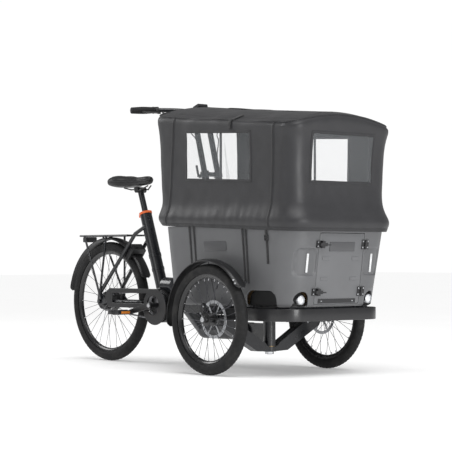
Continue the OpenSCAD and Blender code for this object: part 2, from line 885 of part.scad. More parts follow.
module side_arch(grow) {
    r = 44;
    translate([arch_x, 0, 0]) side_plate(box_floor_w / 2 - 34, box_floor_w / 2 + 80) {
        translate([-arch_half - grow, box_z - 20]) square([2 * (arch_half + grow), arch_top - box_z + 20 - r]);
        translate([r - arch_half - grow, box_z - 20])
            square([2 * (arch_half + grow - r), arch_top - box_z + 20 + grow]);
        for (s = [-1, 1]) translate([s * (arch_half + grow - r), arch_top - r + grow]) circle(r);
    }
}

module reflector_pocket() {
    translate([box_face_x(528) - 5, 212, 528]) rotate([90, 0, 90]) linear_extrude(60)
        round_rect(118, 124, 26);
}

module box_shell() {
    color("#77787b") difference() {
        box_body();
        door_prism(door_gap);
        both_sides() {
            lamp_arch(0, 40);
            intersection() {
                side_arch(0);
                block([arch_x - 200, box_floor_w / 2 - 30, 0], [arch_x + 105, 500, 600]);
            }
        }
    }
}

// Black liners behind the lamps and in the side arches
module recess_panels() {
    t = 4;
    color("#0d0d0e") both_sides() {
        translate([box_face_x(lamp_z) - 32, lamp_y, 0]) rotate([90, 0, 90]) linear_extrude(t) {
            difference() {
                translate([0, lamp_z]) circle(lamp_half - slip);
                translate([-lamp_half, 0]) square([2 * lamp_half, box_z + box_wall + slip]);
            }
            translate([slip - lamp_half, box_z + box_wall + slip])
                square([2 * (lamp_half - slip), lamp_z - box_z - box_wall - slip]);
        }
        intersection() {
            side_arch(-slip);
            block([arch_x - 200, box_floor_w / 2 - 24, box_z + box_wall + slip],
                  [arch_x + 100, box_floor_w / 2 - 20, 600]);
        }
    }
}

// Round head lamps in front of their liners, and the upright white reflectors
module lamps() {
    color("#e8e8ea") both_sides() {
        translate([box_face_x(lamp_z) - 28 + slip, lamp_y, lamp_z]) rotate([0, 90, 0])
            cylinder(h = 22, d = 44);
        on_front(525, 205) translate([slip, -6, -44]) cube([3, 12, 88]);
    }
}

module front_door() {
    color("#85868a") intersection() {
        box_body();
        door_prism(0);
    }
}

// Hinge line: along the front face, just outside it
hinge_off = 6;
hinge_zs = [392, 610];
knuckle = 44;
module hinge_frame(z) {
    on_front(z, hinge_y) translate([hinge_off, 0, 0]) children();
}

// Hinge leaves and pins and the latch keepers, on the box side
module door_frame_fittings() {
    color("#1c1c1e") for (z = hinge_zs) {
        hinge_frame(z) {
            translate([-hinge_off + slip, 5, -knuckle / 2]) cube([3, 17, knuckle]);
            for (s = [-1, 1]) translate([0, 0, s * 15]) difference() {
                union() {
                    cylinder(h = 14, d = 10, center = true);
                    translate([-hinge_off + slip, 0, -7]) cube([3, 8, 14]);
                }
            }
            cylinder(h = knuckle - 1, d = 4, center = true);
        }
        on_front(z, -hinge_y) translate([slip, -14, -16]) cube([6, 14 - slip, 32]);
    }
}

// Hinge knuckles and latch bases, on the door
module door_fittings() {
    color("#1c1c1e") for (z = hinge_zs) {
        hinge_frame(z) difference() {
            union() {
                cylinder(h = 15, d = 10, center = true);
                translate([-hinge_off + slip, -22, -7.5]) cube([3, 22, 15]);
                translate([-hinge_off + slip, -22, -knuckle / 2]) cube([3, 12, knuckle]);
            }
            cylinder(h = 20, d = 4 + 2 * run_gap, center = true);
        }
        latch_frame(z) difference() {
            translate([slip - latch_off, -3, -16]) cube([latch_off + 4, 18, 32]);
            translate([1 - latch_off, -20, -8 - slip]) cube([30, 50, 16 + 2 * slip]);
            cylinder(h = 40, d = latch_pin_d + 2 * run_gap, center = true);
        }
    }
    color("#5a5b5e") on_front(602) translate([slip, -78, -24]) cube([2, 160, 42]);
    color("#7c7d80") on_front(door_low + 12) translate([slip, -120, -8]) cube([2, 240, 20]);
}

// Each latch lever turns on its own pin, along the door's edge
latch_off = 14;
latch_pin_d = 3;
module latch_frame(z) {
    on_front(z, 5 - door_w / 2) translate([latch_off, 0, 0]) children();
}

module latch_lever(z) {
    color("#0f0f10") latch_frame(z) {
        cylinder(h = 31, d = latch_pin_d, center = true);
        translate([-3, -12, -8]) cube([7, 22, 16]);
        translate([-1, 8, -8]) cube([5, 22, 16]);
        translate([-1, 28, -4]) cube([5, 24, 5]);
    }
}

module latch_upper() {
    latch_lever(hinge_zs[1]);
}

module latch_lower() {
    latch_lever(hinge_zs[0]);
}

// ---------- hood ----------

hood_slope = hood_fall / (hood_front - hood_back);
// One ring of the hood: height above the box rim at its back, its outline and its slope
function hood_ring(rise, back, front, half, r, dip, fall, arch, inset) = [
    hood_back + back + inset, hood_front - front - inset, hood_half + half - inset, r - inset,
    rim_z + rise, rim_z + rise - fall, dip, arch
];
rim_dip = 40;
wall_dip = 108;
foot_dip = channel_x - hood_back + 6 - 16;
function hood_rings(inset, low = 0) = [
    hood_ring(8 - low, 16, -3, 7.4, 100, foot_dip, 40, 0, inset),
    hood_ring(46, -14, -18, 18, 110, foot_dip + 30, 30, 0, inset),
    hood_ring(118, 4, 14, -2, 92, foot_dip - 10, 20, 0, inset),
    hood_ring(250, 4, 20, -4, 80, wall_dip + 14, 20, 0, inset),
    hood_ring(430, 0, 8, -2, 74, wall_dip - 28, 60, 14, inset),
    hood_ring(hood_rise - 26, -8, -6, 2, 66, rim_dip + 16, hood_fall - 4, hood_crown - 8, inset),
    hood_ring(hood_rise - inset, 4, 6, -8, 58, rim_dip, hood_fall, hood_crown, inset),
    for (s = [0.7, 0.4, 0.1]) roof_ring(s, inset)
];
function roof_ring(s, inset) =
    let (half = (hood_half - 8 - inset) * s, run = (1 - s) * 60)
    [hood_back + 4 + inset + run, hood_front - 6 - inset - run, half, min(58 - inset, half) * 0.9,
     rim_z + hood_rise - inset - hood_slope * run + hood_crown * (1 - s * s),
     rim_z + hood_rise - inset - hood_fall + hood_slope * run + hood_crown * (1 - s * s),
     rim_dip * s, hood_crown * s * s];

module hood_skin() {
    difference() {
        loft(hood_rings(0));
        loft(hood_rings(cloth_t, 2));
    }
}

side_window_z = rim_z + 326;
module side_window(gap) {
    translate([front_x, 0, 0]) side_plate(hood_half - 40, hood_half + 40)
        translate([-11, side_window_z]) polygon([
            for (c = [[-1, -0.95], [1, -1.15], [1, 0.9], [-0.97, 1.12]])
                [c.x * (window_l / 2 - gap), c.y * (window_h / 2 - gap)]
        ]);
}

module end_window(x_low, x_high, gap) {
    block([x_low, -window_w / 2 + gap, rim_z + 192 + gap], [x_high, window_w / 2 - gap, rim_z + 414 - gap]);
}

module window_cuts(gap) {
    both_sides() side_window(gap);
    end_window(front_x + 350, hood_front + 80, gap);
    end_window(hood_back - 50, channel_x + 60, gap);
}

module hood() {
    color("#3e3e41") difference() {
        hood_skin();
        window_cuts(0);
    }
}

module windows() {
    color([0.9, 0.92, 0.94, 0.5]) intersection() {
        hood_skin();
        window_cuts(slip);
    }
}

// Three hoops that stand in the box and carry the roof
bow_d = 12;
bow_half = box_rim_w / 2 - box_wall - bow_d / 2 - 6;
bow_xs = [front_x - 305, front_x, front_x + 370];
function roof_z(x) = rim_z + hood_rise - cloth_t - hood_slope * (x - hood_back);
module hood_bows() {
    color("#9a9b9e") for (x = bow_xs) {
        top = roof_z(x) - 26;
        bent_rod([
            [x, -bow_half, rim_z - 70], [x, -bow_half, top], [x, -bow_half * 0.6, top + 22],
            [x, 0, top + 34], [x, bow_half * 0.6, top + 22], [x, bow_half, top],
            [x, bow_half, rim_z - 70]
        ], bow_d);
        both_sides() block([x - 12, box_side_y(rim_z - 66) - box_wall - 7, rim_z - 78],
                           [x + 12, box_side_y(rim_z - 78) - box_wall - 1.2, rim_z - 70]);
    }
}

// Webbing straps that pull the hood down, on the outside of the box
module strap(x, w, low, high) {
    t = 1.6;
    lean = (box_rim_w - box_floor_w) / 2 / box_h;
    translate([x, box_side_y(low) + slip, low]) rotate([-atan(lean), 0, 0])
        cube([w, t, (high - low) / cos(atan(lean))]);
}

module straps() {
    color("#151516") both_sides() {
        for (x = [-211, -180]) strap(front_x + x, 11, 430, rim_z - 30);
        for (x = [168, 190]) strap(front_x + x, 11, 430, rim_z - 46);
        strap(front_x + 330, 12, 520, rim_z - 58);
    }
}

module bench() {
    top = box_z + 210;
    back = channel_x + box_wall + 40;
    depth = 300;
    color("#b08d5b") {
        block([back, -250, top - 18], [back + depth, 250, top]);
        block([back + depth - 20, -230, box_z + box_wall + slip], [back + depth - 2, 230, top - 18 - slip]);
        block([back, -230, box_z + box_wall + slip], [back + 18, 230, top - 18 - slip]);
    }
    color("#2f3033") {
        block([back + 45, -240, top + slip], [back + depth, 240, top + 40]);
        block([back, -240, top + slip], [back + 40, 240, top + 300]);
    }
}

// ---------- column and handlebar ----------

column_bend = clamp_at - 90 * mast_dir;
module at_clamp() {
    translate(clamp_at) rotate([0, -atan2(-mast_dir.x, mast_dir.z), 0]) children();
}

column_foot = [channel_x - 33, 0, box_z - rail_h - 14];
module column_side() {
    offset_y = [0, mast_gap / 2, 0];
    bent_rod([column_foot + offset_y, [channel_x - 33, 0, rim_z - 40] + offset_y,
              column_bend + offset_y, clamp_at + offset_y], column_d);
}

// Two tubes that stand in the box's recess and take the sliding mast tubes
module column() {
    color("#2b2c30") both_sides() difference() {
        union() {
            column_side();
            at_clamp() translate([0, mast_gap / 2, -26]) cylinder(h = 26, d = column_d + 8);
        }
        rod(clamp_at - 170 * mast_dir + [0, mast_gap / 2, 0],
            clamp_at + 10 * mast_dir + [0, mast_gap / 2, 0], mast_d + 2 * run_gap);
    }
    color("#2b2c30") at_clamp() difference() {
        translate(column_pin + [-8, -12, -8]) cube([12 + 8, 24, 16]);
        translate(column_pin) rotate([90, 0, 0]) cylinder(h = 60, d = 8 + 2 * run_gap, center = true);
        translate([0, -mast_gap / 2, -40]) cylinder(h = 60, d = column_d + 8 + 2 * slip);
    }
    color("#2b2c30") at_clamp() difference() {
        translate([-8, (column_d - mast_gap) / 2 + 3.5, -24]) cube([16, mast_gap - column_d - 7, 20]);
        for (s = [-1, 1]) translate([0, s * mast_gap / 2, -40])
            cylinder(h = 60, d = column_d + 8 + 2 * slip);
    }
}

column_pin = [-column_d / 2 - 12, -mast_gap / 2, -14];
module column_lever() {
    color("#3a3b3e") at_clamp() translate(column_pin) {
        rotate([90, 0, 0]) cylinder(h = 30, d = 8, center = true);
        translate([-4, -22, -4]) cube([8, 8, 60]);
    }
}

module handlebar() {
    color("#1c1c1f") {
        collared_rod([for (p = bar_line) [p.x, -p.y, p.z]], bar_d);
        collared_rod(bar_line, bar_d);
        for (side = [-1, 1]) {
            beside = [0, side * mast_gap / 2, 0];
            rod(clamp_at - mast_hidden * mast_dir + beside, mast_top + beside, mast_d);
            translate(mast_top + beside) sphere(d = mast_d + collar_over);
            rod(mast_top + beside, bar_at + beside, mast_d - 4);
        }
        rod(bar_at - [0, mast_gap / 2 + 18, 0], bar_at + [0, mast_gap / 2 + 18, 0], 34);
    }
}

module grips() {
    color("#121213") both_sides() difference() {
        rod(grip_out - 118 * grip_dir, grip_out + 3 * grip_dir, 33);
        rod(grip_out - 130 * grip_dir, grip_out + slip * grip_dir, bar_d + 2 * run_gap);
    }
}

// Display on the bar's middle, lever clamps and a bell
module bar_controls() {
    color("#101011") {
        translate(bar_at + [6, 0, 28.2]) rotate([0, -20, 0]) cube([42, 62, 14], center = true);
        both_sides() difference() {
            union() {
                rod(grip_in + 4 * grip_dir, grip_in + 22 * grip_dir, 34);
                translate(lever_at) cylinder(h = 12, r = 9, center = true);
            }
            rod(grip_in, grip_out, bar_d + 2 * run_gap);
            translate(lever_at) cylinder(h = 40, d = 5 + 2 * run_gap, center = true);
            translate(lever_at) cylinder(h = 6 + 2 * slip, r = 13, center = true);
        }
    }
}

// The lever lies ahead of the grip and turns towards it about an upright pin
module brake_lever(side) {
    color("#202022") scale([1, side, 1]) translate(lever_at) {
        cylinder(h = 12, d = 5, center = true);
        cylinder(h = 6, r = 8, center = true);
        rotate(atan2(grip_dir.y, grip_dir.x)) {
            translate([0, -10, -3]) cube([10, 8, 6]);
            translate([4, -22, -3]) rotate(-8) cube([92, 8, 6]);
            translate([4, -22, -3]) cube([8, 18, 6]);
        }
    }
}

module brake_lever_right() {
    brake_lever(-1);
}

module brake_lever_left() {
    brake_lever(1);
}

// Brake hoses and the display lead, looped from the bar down to the mast
module cables() {
    hose_d = 5;
    beside = (mast_gap + mast_d + hose_d) / 2 + slip;
    entry = clamp_at + 78 * mast_dir;
    color("#101011") for (s = [-1, 1]) {
        loop = s > 0 ? 20 : 8;
        swept_tube(smooth([
            [lever_at.x + 8, s * (lever_at.y - 12), lever_at.z], [bar_at.x + 16, s * 132, bar_at.z - 26],
            [bar_at.x + 26, s * (74 + loop), bar_at.z - 104], entry + [-14, s * (beside + loop), 86],
            entry + [-3, s * (beside + 2), 24], entry + [0, s * beside, 0]
        ], 6), hose_d);
    }
}

// ---------- brakes and mudguards ----------

module front_fenders() {
    color("#1a1a1c") both_sides() {
        translate([front_x, side_y, front_r]) rotate([90, 0, 0])
            fender_band(front_r + fender_gap, 33, 188);
        for (a = [40, 100]) let (r = front_r + fender_gap - 6)
            rod([front_x + r * cos(a), side_y - fender_w / 2 - 3, front_r + r * sin(a)],
                [front_x + 18 * cos(a), side_y - 59, front_r + 4 + 18 * sin(a)], 5);
    }
}

caliper_a = 150;
module calipers() {
    r = rotor_d / 2 - 4;
    plane = side_y - rotor_in - slip;
    color("#1a1a1c") both_sides() translate([front_x, plane, front_r]) rotate([0, -caliper_a, 0])
        difference() {
            union() {
                block([r - 24, -20, -26], [r + 20, 8.5, 26]);
                block([axle_d, rotor_in - 62 + 2 * slip, -12], [r + 16, -19, 12]);
            }
            block([0, -2.5, -40], [r + 6, 2.5, 40]);
            block([0, 2, -40], [r - 12, 20, 40]);
        }
}

placed() main_frame();
placed() rear_triangle();
placed() steering_bushes();
placed() motor();
placed() chain_guard();
placed() chain();
placed() rear_fender();
placed() rack();
placed() rear_light();
placed() ring_lock();
placed() seat_collar();
placed() seatpost();
placed() saddle();
placed() saddle_rails();
placed() collar_lever();
placed() cranks();
placed() chainring();
placed() pedal(-1);  // pedal_right
placed() pedal(1);  // pedal_left
placed() rear_tyre();
placed() rear_rim();
placed() rear_spokes();
placed() rear_hub();
placed() axle_beam();
placed() chassis_frame();
placed() axle_pins();
placed() bumper();
placed() box_shell();
placed() recess_panels();
placed() lamps();
placed() hood();
placed() windows();
placed() hood_bows();
placed() straps();
placed() bench();
placed() column();
placed() column_lever();
placed() handlebar();
placed() grips();
placed() bar_controls();
placed() cables();
placed() brake_lever_right();
placed() brake_lever_left();
placed() front_fenders();
placed() calipers();
placed() door_frame_fittings();
placed() front_door();
placed() door_fittings();
placed() latch_upper();
placed() latch_lower();
placed() front_tyre(-1);  // front_tyre_right
placed() front_rim(-1);  // front_rim_right
placed() front_spokes(-1);  // front_spokes_right
placed() front_hub(-1);  // front_hub_right
placed() front_rotor(-1);  // front_rotor_right
placed() front_tyre(1);  // front_tyre_left
placed() front_rim(1);  // front_rim_left
placed() front_spokes(1);  // front_spokes_left
placed() front_hub(1);  // front_hub_left
placed() front_rotor(1);  // front_rotor_left
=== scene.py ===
"""Surfaces and finishes of a three-wheeled cargo bicycle with a hooded box."""

import json
import math

import bmesh
import bpy
import numpy as np
from bpy.props import FloatProperty, FloatVectorProperty, IntProperty, PointerProperty
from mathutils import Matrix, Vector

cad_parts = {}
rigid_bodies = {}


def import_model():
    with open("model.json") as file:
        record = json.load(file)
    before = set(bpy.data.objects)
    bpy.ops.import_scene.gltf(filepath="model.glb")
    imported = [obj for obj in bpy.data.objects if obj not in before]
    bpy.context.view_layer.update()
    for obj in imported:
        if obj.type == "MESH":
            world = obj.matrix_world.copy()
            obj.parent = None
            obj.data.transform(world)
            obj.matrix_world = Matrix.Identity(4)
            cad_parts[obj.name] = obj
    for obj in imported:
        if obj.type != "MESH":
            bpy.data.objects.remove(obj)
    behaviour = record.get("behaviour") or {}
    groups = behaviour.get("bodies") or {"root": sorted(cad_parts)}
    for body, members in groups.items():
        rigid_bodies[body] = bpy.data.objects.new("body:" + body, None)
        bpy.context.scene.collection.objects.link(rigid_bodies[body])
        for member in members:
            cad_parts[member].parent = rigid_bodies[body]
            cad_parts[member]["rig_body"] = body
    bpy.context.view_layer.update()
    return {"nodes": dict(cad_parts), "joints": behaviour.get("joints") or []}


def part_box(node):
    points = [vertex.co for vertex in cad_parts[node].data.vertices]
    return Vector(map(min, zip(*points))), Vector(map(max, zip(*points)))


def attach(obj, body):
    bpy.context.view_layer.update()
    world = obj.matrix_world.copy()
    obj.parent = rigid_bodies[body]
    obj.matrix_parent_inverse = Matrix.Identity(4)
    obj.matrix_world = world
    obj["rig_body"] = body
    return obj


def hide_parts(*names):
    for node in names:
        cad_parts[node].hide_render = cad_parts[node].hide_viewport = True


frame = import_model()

bl_info = {
    "name": "Cargo Bicycle Looks",
    "version": (1, 0, 0),
    "blender": (4, 5, 0),
    "location": "View3D > Sidebar > Cargo Bicycle",
    "description": "Surfaces, cloth and finishes of a three-wheeled cargo bicycle",
    "category": "Mesh",
}

# ---------------------------------------------------------------- measures

JOINTS = {joint["name"]: joint for joint in frame["joints"]}
SIDES = {"right": -1.0, "left": 1.0}


def joint_at(name):
    """Where a joint stands, as an array."""
    return np.array(JOINTS[name]["pos_m"], float)


def span(node):
    """Lowest and highest corner of a CAD node, as arrays."""
    low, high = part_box(node)
    return np.array(low), np.array(high)


FRONT_AXLE = joint_at("front_wheel_left_spin")
REAR_AXLE = joint_at("rear_wheel_spin")
CRANK = joint_at("crank_spin")
FRONT_R, REAR_R = FRONT_AXLE[2], REAR_AXLE[2]
FRONT_X, SIDE_Y = FRONT_AXLE[0], FRONT_AXLE[1]
TYRE_W = span("rear_tyre")[1][1] * 2
RIM_R_IN = 0.047
BOX_LOW, BOX_HIGH = span("box_shell")
BOX_Z, RIM_Z = BOX_LOW[2], BOX_HIGH[2]
FLOOR_BACK, FLOOR_FRONT = FRONT_X - 0.421, FRONT_X + 0.455
FLOOR_HALF, RIM_HALF = 0.297, BOX_HIGH[1]
CHANNEL_X = FRONT_X - 0.322
FACE_LEAN = math.atan2(BOX_HIGH[0] - FLOOR_FRONT, RIM_Z - BOX_Z)
HOOD_BACK, HOOD_FRONT, HOOD_HALF = BOX_LOW[0] - 0.040, BOX_HIGH[0] + 0.007, RIM_HALF - 0.004
MAST_DIR = -np.array(JOINTS["bar_height"]["axis"]) if JOINTS["bar_height"]["axis"][2] < 0 else np.array(
    JOINTS["bar_height"]["axis"])
CLAMP = np.array([FRONT_X - 0.430, 0.0, 0.978])
MAST_GAP, MAST_R = 0.086, 0.0145
HOSE_D = 0.005
MAST_TOP = CLAMP + 0.296 * MAST_DIR
BAR_AT = MAST_TOP + [-0.008, 0, 0.018]
BAR_BEND = BAR_AT + [-0.018, 0.120, 0.006]
GRIP_IN = BAR_AT + [-0.072, 0.205, 0.006]
GRIP_OUT = BAR_AT + [-0.122, 0.340, 0.0]
GRIP_DIR = (GRIP_OUT - GRIP_IN) / np.linalg.norm(GRIP_OUT - GRIP_IN)
SEAT_TOP = np.array([REAR_AXLE[0] + 0.303, 0.0, 0.775])
SEAT_FOOT = np.array([REAR_AXLE[0] + 0.440, 0.0, 0.392])
SEAT_DIR = (SEAT_TOP - SEAT_FOOT) / np.linalg.norm(SEAT_TOP - SEAT_FOOT)
POST_TOP = SEAT_TOP + 0.135 * SEAT_DIR
SADDLE_Z, SADDLE_NOSE, SADDLE_LONG = 0.951, 0.092, 0.272
CHAIN_Y, CHAIN_PITCH, CHAIN_HALF_LINK = -0.050, 0.0127, 0.00635
CHAINRING_R, SPROCKET_R = 0.0745, 0.0385

# ---------------------------------------------------------------- sizes and colours to change


class BicycleSizes(bpy.types.PropertyGroup):
    """Sizes that change the look and not the CAD."""

    tread_blocks: IntProperty(name="Tread blocks", default=72, min=24, max=120,
                              description="Tread blocks round each tyre")
    tread_depth: FloatProperty(name="Tread depth", default=0.0013, min=0.0, max=0.003, unit="LENGTH",
                               description="Depth of the grooves between the tread blocks")
    cloth_slack: FloatProperty(name="Cloth slack", default=0.0030, min=0.0, max=0.008, unit="LENGTH",
                               description="Height of the hood cloth's soft waves")
    box_cell: FloatProperty(name="Box cell", default=0.0055, min=0.003, max=0.02, unit="LENGTH",
                            description="Size of one face of the moulded box")
    edge_round: FloatProperty(name="Edge rounding", default=0.0009, min=0.0, max=0.003, unit="LENGTH",
                              description="Rounding of the edges of castings and plates")


class BicycleColours(bpy.types.PropertyGroup):
    """Colours of the large surfaces."""

    box: FloatVectorProperty(name="Box", subtype="COLOR", size=3, default=(0.122, 0.124, 0.129),
                             description="Moulded box and door")
    hood: FloatVectorProperty(name="Hood", subtype="COLOR", size=3, default=(0.026, 0.026, 0.0285),
                              description="Coated cloth of the hood")
    paint: FloatVectorProperty(name="Frame", subtype="COLOR", size=3, default=(0.010, 0.011, 0.014),
                               description="Painted tubes")
    accent: FloatVectorProperty(name="Accent", subtype="COLOR", size=3, default=(0.86, 0.16, 0.035),
                                description="Seat collar and its lever")


def sizes():
    """The panel's sizes."""
    return bpy.context.scene.bicycle_sizes


def colours():
    """The panel's colours."""
    return bpy.context.scene.bicycle_colours


# ---------------------------------------------------------------- shapes: (points, corner indices, corners per face)


def grid(points, wrap=True, close=False):
    """Faces between neighbouring rows and columns of an (n, m, 3) array. Wrap joins the columns' ends and close the
    rows'."""
    n, m = points.shape[:2]
    i = np.arange(n if close else n - 1)[:, None]
    k = np.arange(m if wrap else m - 1)[None, :]
    i2, k2 = (i + 1) % n, (k + 1) % m
    quads = np.stack([i * m + k, i * m + k2, i2 * m + k2, i2 * m + k], axis=-1).reshape(-1)
    return points.reshape(-1, 3), quads, np.full(len(quads) // 4, 4)


def capped(points):
    """A grid wrapped round its columns, with one face over each open end."""
    base, loops, counts = grid(points)
    n, m = points.shape[:2]
    return base, np.concatenate([loops, np.arange(m)[::-1], np.arange(m) + (n - 1) * m]), np.append(counts, [m, m])


def join(*parts):
    """Several shapes as one."""
    starts = np.cumsum([0] + [len(p[0]) for p in parts])
    return (np.concatenate([p[0] for p in parts]),
            np.concatenate([p[1] + s for p, s in zip(parts, starts)]),
            np.concatenate([p[2] for p in parts]))


def moved(part, turn=None, by=(0, 0, 0)):
    """A shape turned by a matrix, then shifted."""
    points = part[0] if turn is None else part[0] @ np.asarray(turn, float).T
    return points + np.asarray(by, float), part[1], part[2]


def mirrored(part):
    """The same shape on the other side of the bicycle."""
    return part[0] * [1, -1, 1], part[1], part[2]


def both(part):
    """A shape and its mirror image."""
    return join(part, mirrored(part))


def copies(part, turns, shifts):
    """One copy of a shape for each turn matrix (k, 3, 3) and shift (k, 3)."""
    points, loops, counts = part
    k = len(shifts)
    placed = np.einsum("kij,nj->kni", turns, points) + np.asarray(shifts)[:, None]
    index = loops[None] + (np.arange(k) * len(points))[:, None]
    return placed.reshape(-1, 3), index.reshape(-1), np.tile(counts, k)


def turn_about(axis, angle):
    """Matrices of a turn by each angle, in radians, about an axis (Rodrigues' formula)."""
    x, y, z = np.asarray(axis, float) / np.linalg.norm(axis)
    cross = np.array([[0, -z, y], [z, 0, -x], [-y, x, 0]])
    a = np.asarray(angle, float)[..., None, None]
    return np.eye(3) + np.sin(a) * cross + (1 - np.cos(a)) * cross @ cross


def spun(part, count, centre, axis=(0, 1, 0), start=0.0):
    """Copies of a shape at equal angles about an axis through a centre."""
    turns = turn_about(axis, start + round_angles(count))
    centre = np.asarray(centre, float)
    return copies(moved(part, by=-centre), turns, np.tile(centre, (count, 1)))


def basis(direction, up=(0, 0, 1)):
    """A matrix whose columns are side, up-ish and direction."""
    d = np.asarray(direction, float) / np.linalg.norm(direction)
    side = np.cross(up, d)
    if np.linalg.norm(side) < 1e-6:
        side = np.cross((0, 1, 0), d)
    side /= np.linalg.norm(side)
    return np.stack([side, np.cross(d, side), d], axis=1)


def spline(points, steps):
    """A curve through points, by Catmull and Rom's cubic between each pair."""
    p = np.array(points, float)
    q = np.vstack([2 * p[0] - p[1], p, 2 * p[-1] - p[-2]])
    t = np.linspace(0, 1, steps, endpoint=False)[:, None]
    a, b, c, d = (q[i:len(q) - 3 + i, None] for i in range(4))
    curve = 0.5 * (2 * b + (c - a) * t + (2 * a - 5 * b + 4 * c - d) * t ** 2 + (3 * b - a - 3 * c + d) * t ** 3)
    return np.vstack([curve.reshape(-1, p.shape[1]), p[-1:]])


def filleted(points, radius, steps=8):
    """A line through points whose corners are rounded by parabolas that start one radius before each corner."""
    p = np.array(points, float)
    t = np.linspace(0, 1, steps)[:, None]
    out = [p[:1]]
    for before, corner, after, reach in zip(p[:-2], p[1:-1], p[2:], np.broadcast_to(radius, len(p) - 2)):
        a = corner + (before - corner) * min(0.49, reach / np.linalg.norm(before - corner))
        b = corner + (after - corner) * min(0.49, reach / np.linalg.norm(after - corner))
        out.append((1 - t) ** 2 * a + 2 * t * (1 - t) * corner + t ** 2 * b)
    return np.vstack(out + [p[-1:]])


def lengths(path):
    """Distance along a path to each of its points."""
    return np.append(0, np.cumsum(np.linalg.norm(np.diff(path, axis=0), axis=1)))


def followed(at, length, values):
    """Rows of values at distances along a path."""
    return np.stack([np.interp(at, length, column) for column in values.T], axis=-1)


def directions(path, closed=False):
    """Unit tangents by central differences."""
    if closed:
        d = np.roll(path, -1, axis=0) - np.roll(path, 1, axis=0)
    else:
        d = np.gradient(path, axis=0)
    return d / np.linalg.norm(d, axis=1, keepdims=True)


def sweep(path, profile, up=(0.0, 0.0, 1.0), closed=False):
    """Carries a closed profile of (across, along-up) pairs along a path: point + across * side + second * up."""
    path = np.asarray(path, float)
    tangent = directions(path, closed)
    up = np.broadcast_to(np.asarray(up, float), path.shape)
    side = np.cross(tangent, up)
    side /= np.linalg.norm(side, axis=1, keepdims=True)
    top = np.cross(side, tangent)
    profile = np.broadcast_to(profile, (len(path),) + np.shape(profile)[-2:])
    points = path[:, None] + profile[..., :1] * side[:, None] + profile[..., 1:] * top[:, None]
    return grid(points, close=True) if closed else capped(points)


def round_angles(count):
    """Even steps of angle round a full turn."""
    return np.arange(count) * 2 * math.pi / count


def circle(sides):
    """A round profile of radius 1."""
    a = round_angles(sides)
    return np.stack([np.cos(a), np.sin(a)], axis=-1)


def tube(path, radius, sides=16, closed=False, up=None):
    """A round tube along a path; radius is one number or one for each point."""
    path = np.asarray(path, float)
    if up is None:
        along = path[-1] - path[0]
        up = np.eye(3)[np.argmin(np.abs(along))]
    radius = np.broadcast_to(radius, len(path))
    return sweep(path, circle(sides) * radius[:, None, None], up, closed)


def rod(start, end, radius, sides=16, edge=0.0006):
    """A straight round bar with a small chamfer at each end."""
    start, end = np.asarray(start, float), np.asarray(end, float)
    step = (end - start) / np.linalg.norm(end - start) * edge
    return tube(np.array([start, start + step, end - step, end]),
                [radius - edge, radius, radius, radius - edge], sides)


def lathe(profile, centre, axis=(0, 1, 0), sides=64, closed=False):
    """Turns a line of (radius, height) pairs about an axis: radius round it, height along it."""
    profile = np.array(profile, float)
    a = round_angles(sides)
    local = np.stack(np.broadcast_arrays(profile[:, :1] * np.cos(a), profile[:, :1] * np.sin(a), profile[:, 1:]),
                     axis=-1)
    points = local @ basis(axis).T + np.asarray(centre, float)
    return grid(points, close=True) if closed else capped(points)


def slab(size, radius, centre=(0, 0, 0), turn=None, bands=4):
    """A box with round edges: a ball whose eight parts are pushed out to the box's corners."""
    size, radius = np.asarray(size, float) / 2, min(radius, min(size) / 2 * 0.98)
    across = (np.arange(bands * 4) + 0.5) / (bands * 4) * 2 * math.pi
    upright = (np.arange(bands * 2) + 0.5) / (bands * 2) * math.pi - math.pi / 2
    ball = np.stack(np.broadcast_arrays(np.cos(upright)[:, None] * np.cos(across),
                                        np.cos(upright)[:, None] * np.sin(across),
                                        np.sin(upright)[:, None]), axis=-1)
    full = radius / np.abs(ball).max(axis=(0, 1))
    return moved(capped(ball * full + np.sign(ball) * (size - radius)), turn, centre)


def rounded_outline(width, height, radius, steps=6):
    """A rectangle with round corners, as (m, 2) points anticlockwise."""
    a = np.linspace(0, math.pi / 2, steps)
    quarter = np.arange(4)[:, None] * math.pi / 2 + a
    sx, sy = np.array([1, -1, -1, 1])[:, None], np.array([1, 1, -1, -1])[:, None]
    x = sx * (width / 2 - radius) + radius * np.cos(quarter)
    y = sy * (height / 2 - radius) + radius * np.sin(quarter)
    return np.stack([x, y], axis=-1).reshape(-1, 2)


def plate(outline, low, high, edge, turn, centre):
    """A flat outline grown along local z from low to high, with its rims drawn in by the edge's chamfer."""
    outline = np.asarray(outline, float)
    d = np.roll(outline, -1, axis=0) - np.roll(outline, 1, axis=0)
    inward = np.stack([-d[:, 1], d[:, 0]], axis=-1) / np.maximum(np.linalg.norm(d, axis=1, keepdims=True), 1e-9)
    rings = [(edge, low), (edge * 0.3, low + edge * 0.3), (0, low + edge),
             (0, high - edge), (edge * 0.3, high - edge * 0.3), (edge, high)]
    points = np.stack([np.column_stack([outline + inset * inward, np.full(len(outline), z)]) for inset, z in rings])
    return moved(capped(points), turn, centre)


def waves(points, scale, seed):
    """Soft noise from -1 to 1: the mean of sines along directions drawn with a seed."""
    draw, count = np.random.default_rng(seed), 7
    ways = draw.normal(size=(count, 3))
    ways *= (draw.uniform(0.6, 1.6, (count, 1)) * 2 * math.pi / scale) / np.linalg.norm(ways, axis=1, keepdims=True)
    return np.sin(points @ ways.T + draw.uniform(0, 2 * math.pi, count)).mean(axis=-1) * 1.6


def surface_normals(points):
    """Unit normals of a wrapped grid, from the cross product of its columns' and rows' steps."""
    out = np.cross(np.roll(points, -1, axis=1) - np.roll(points, 1, axis=1), np.gradient(points, axis=0))
    return out / np.maximum(np.linalg.norm(out, axis=-1, keepdims=True), 1e-12)


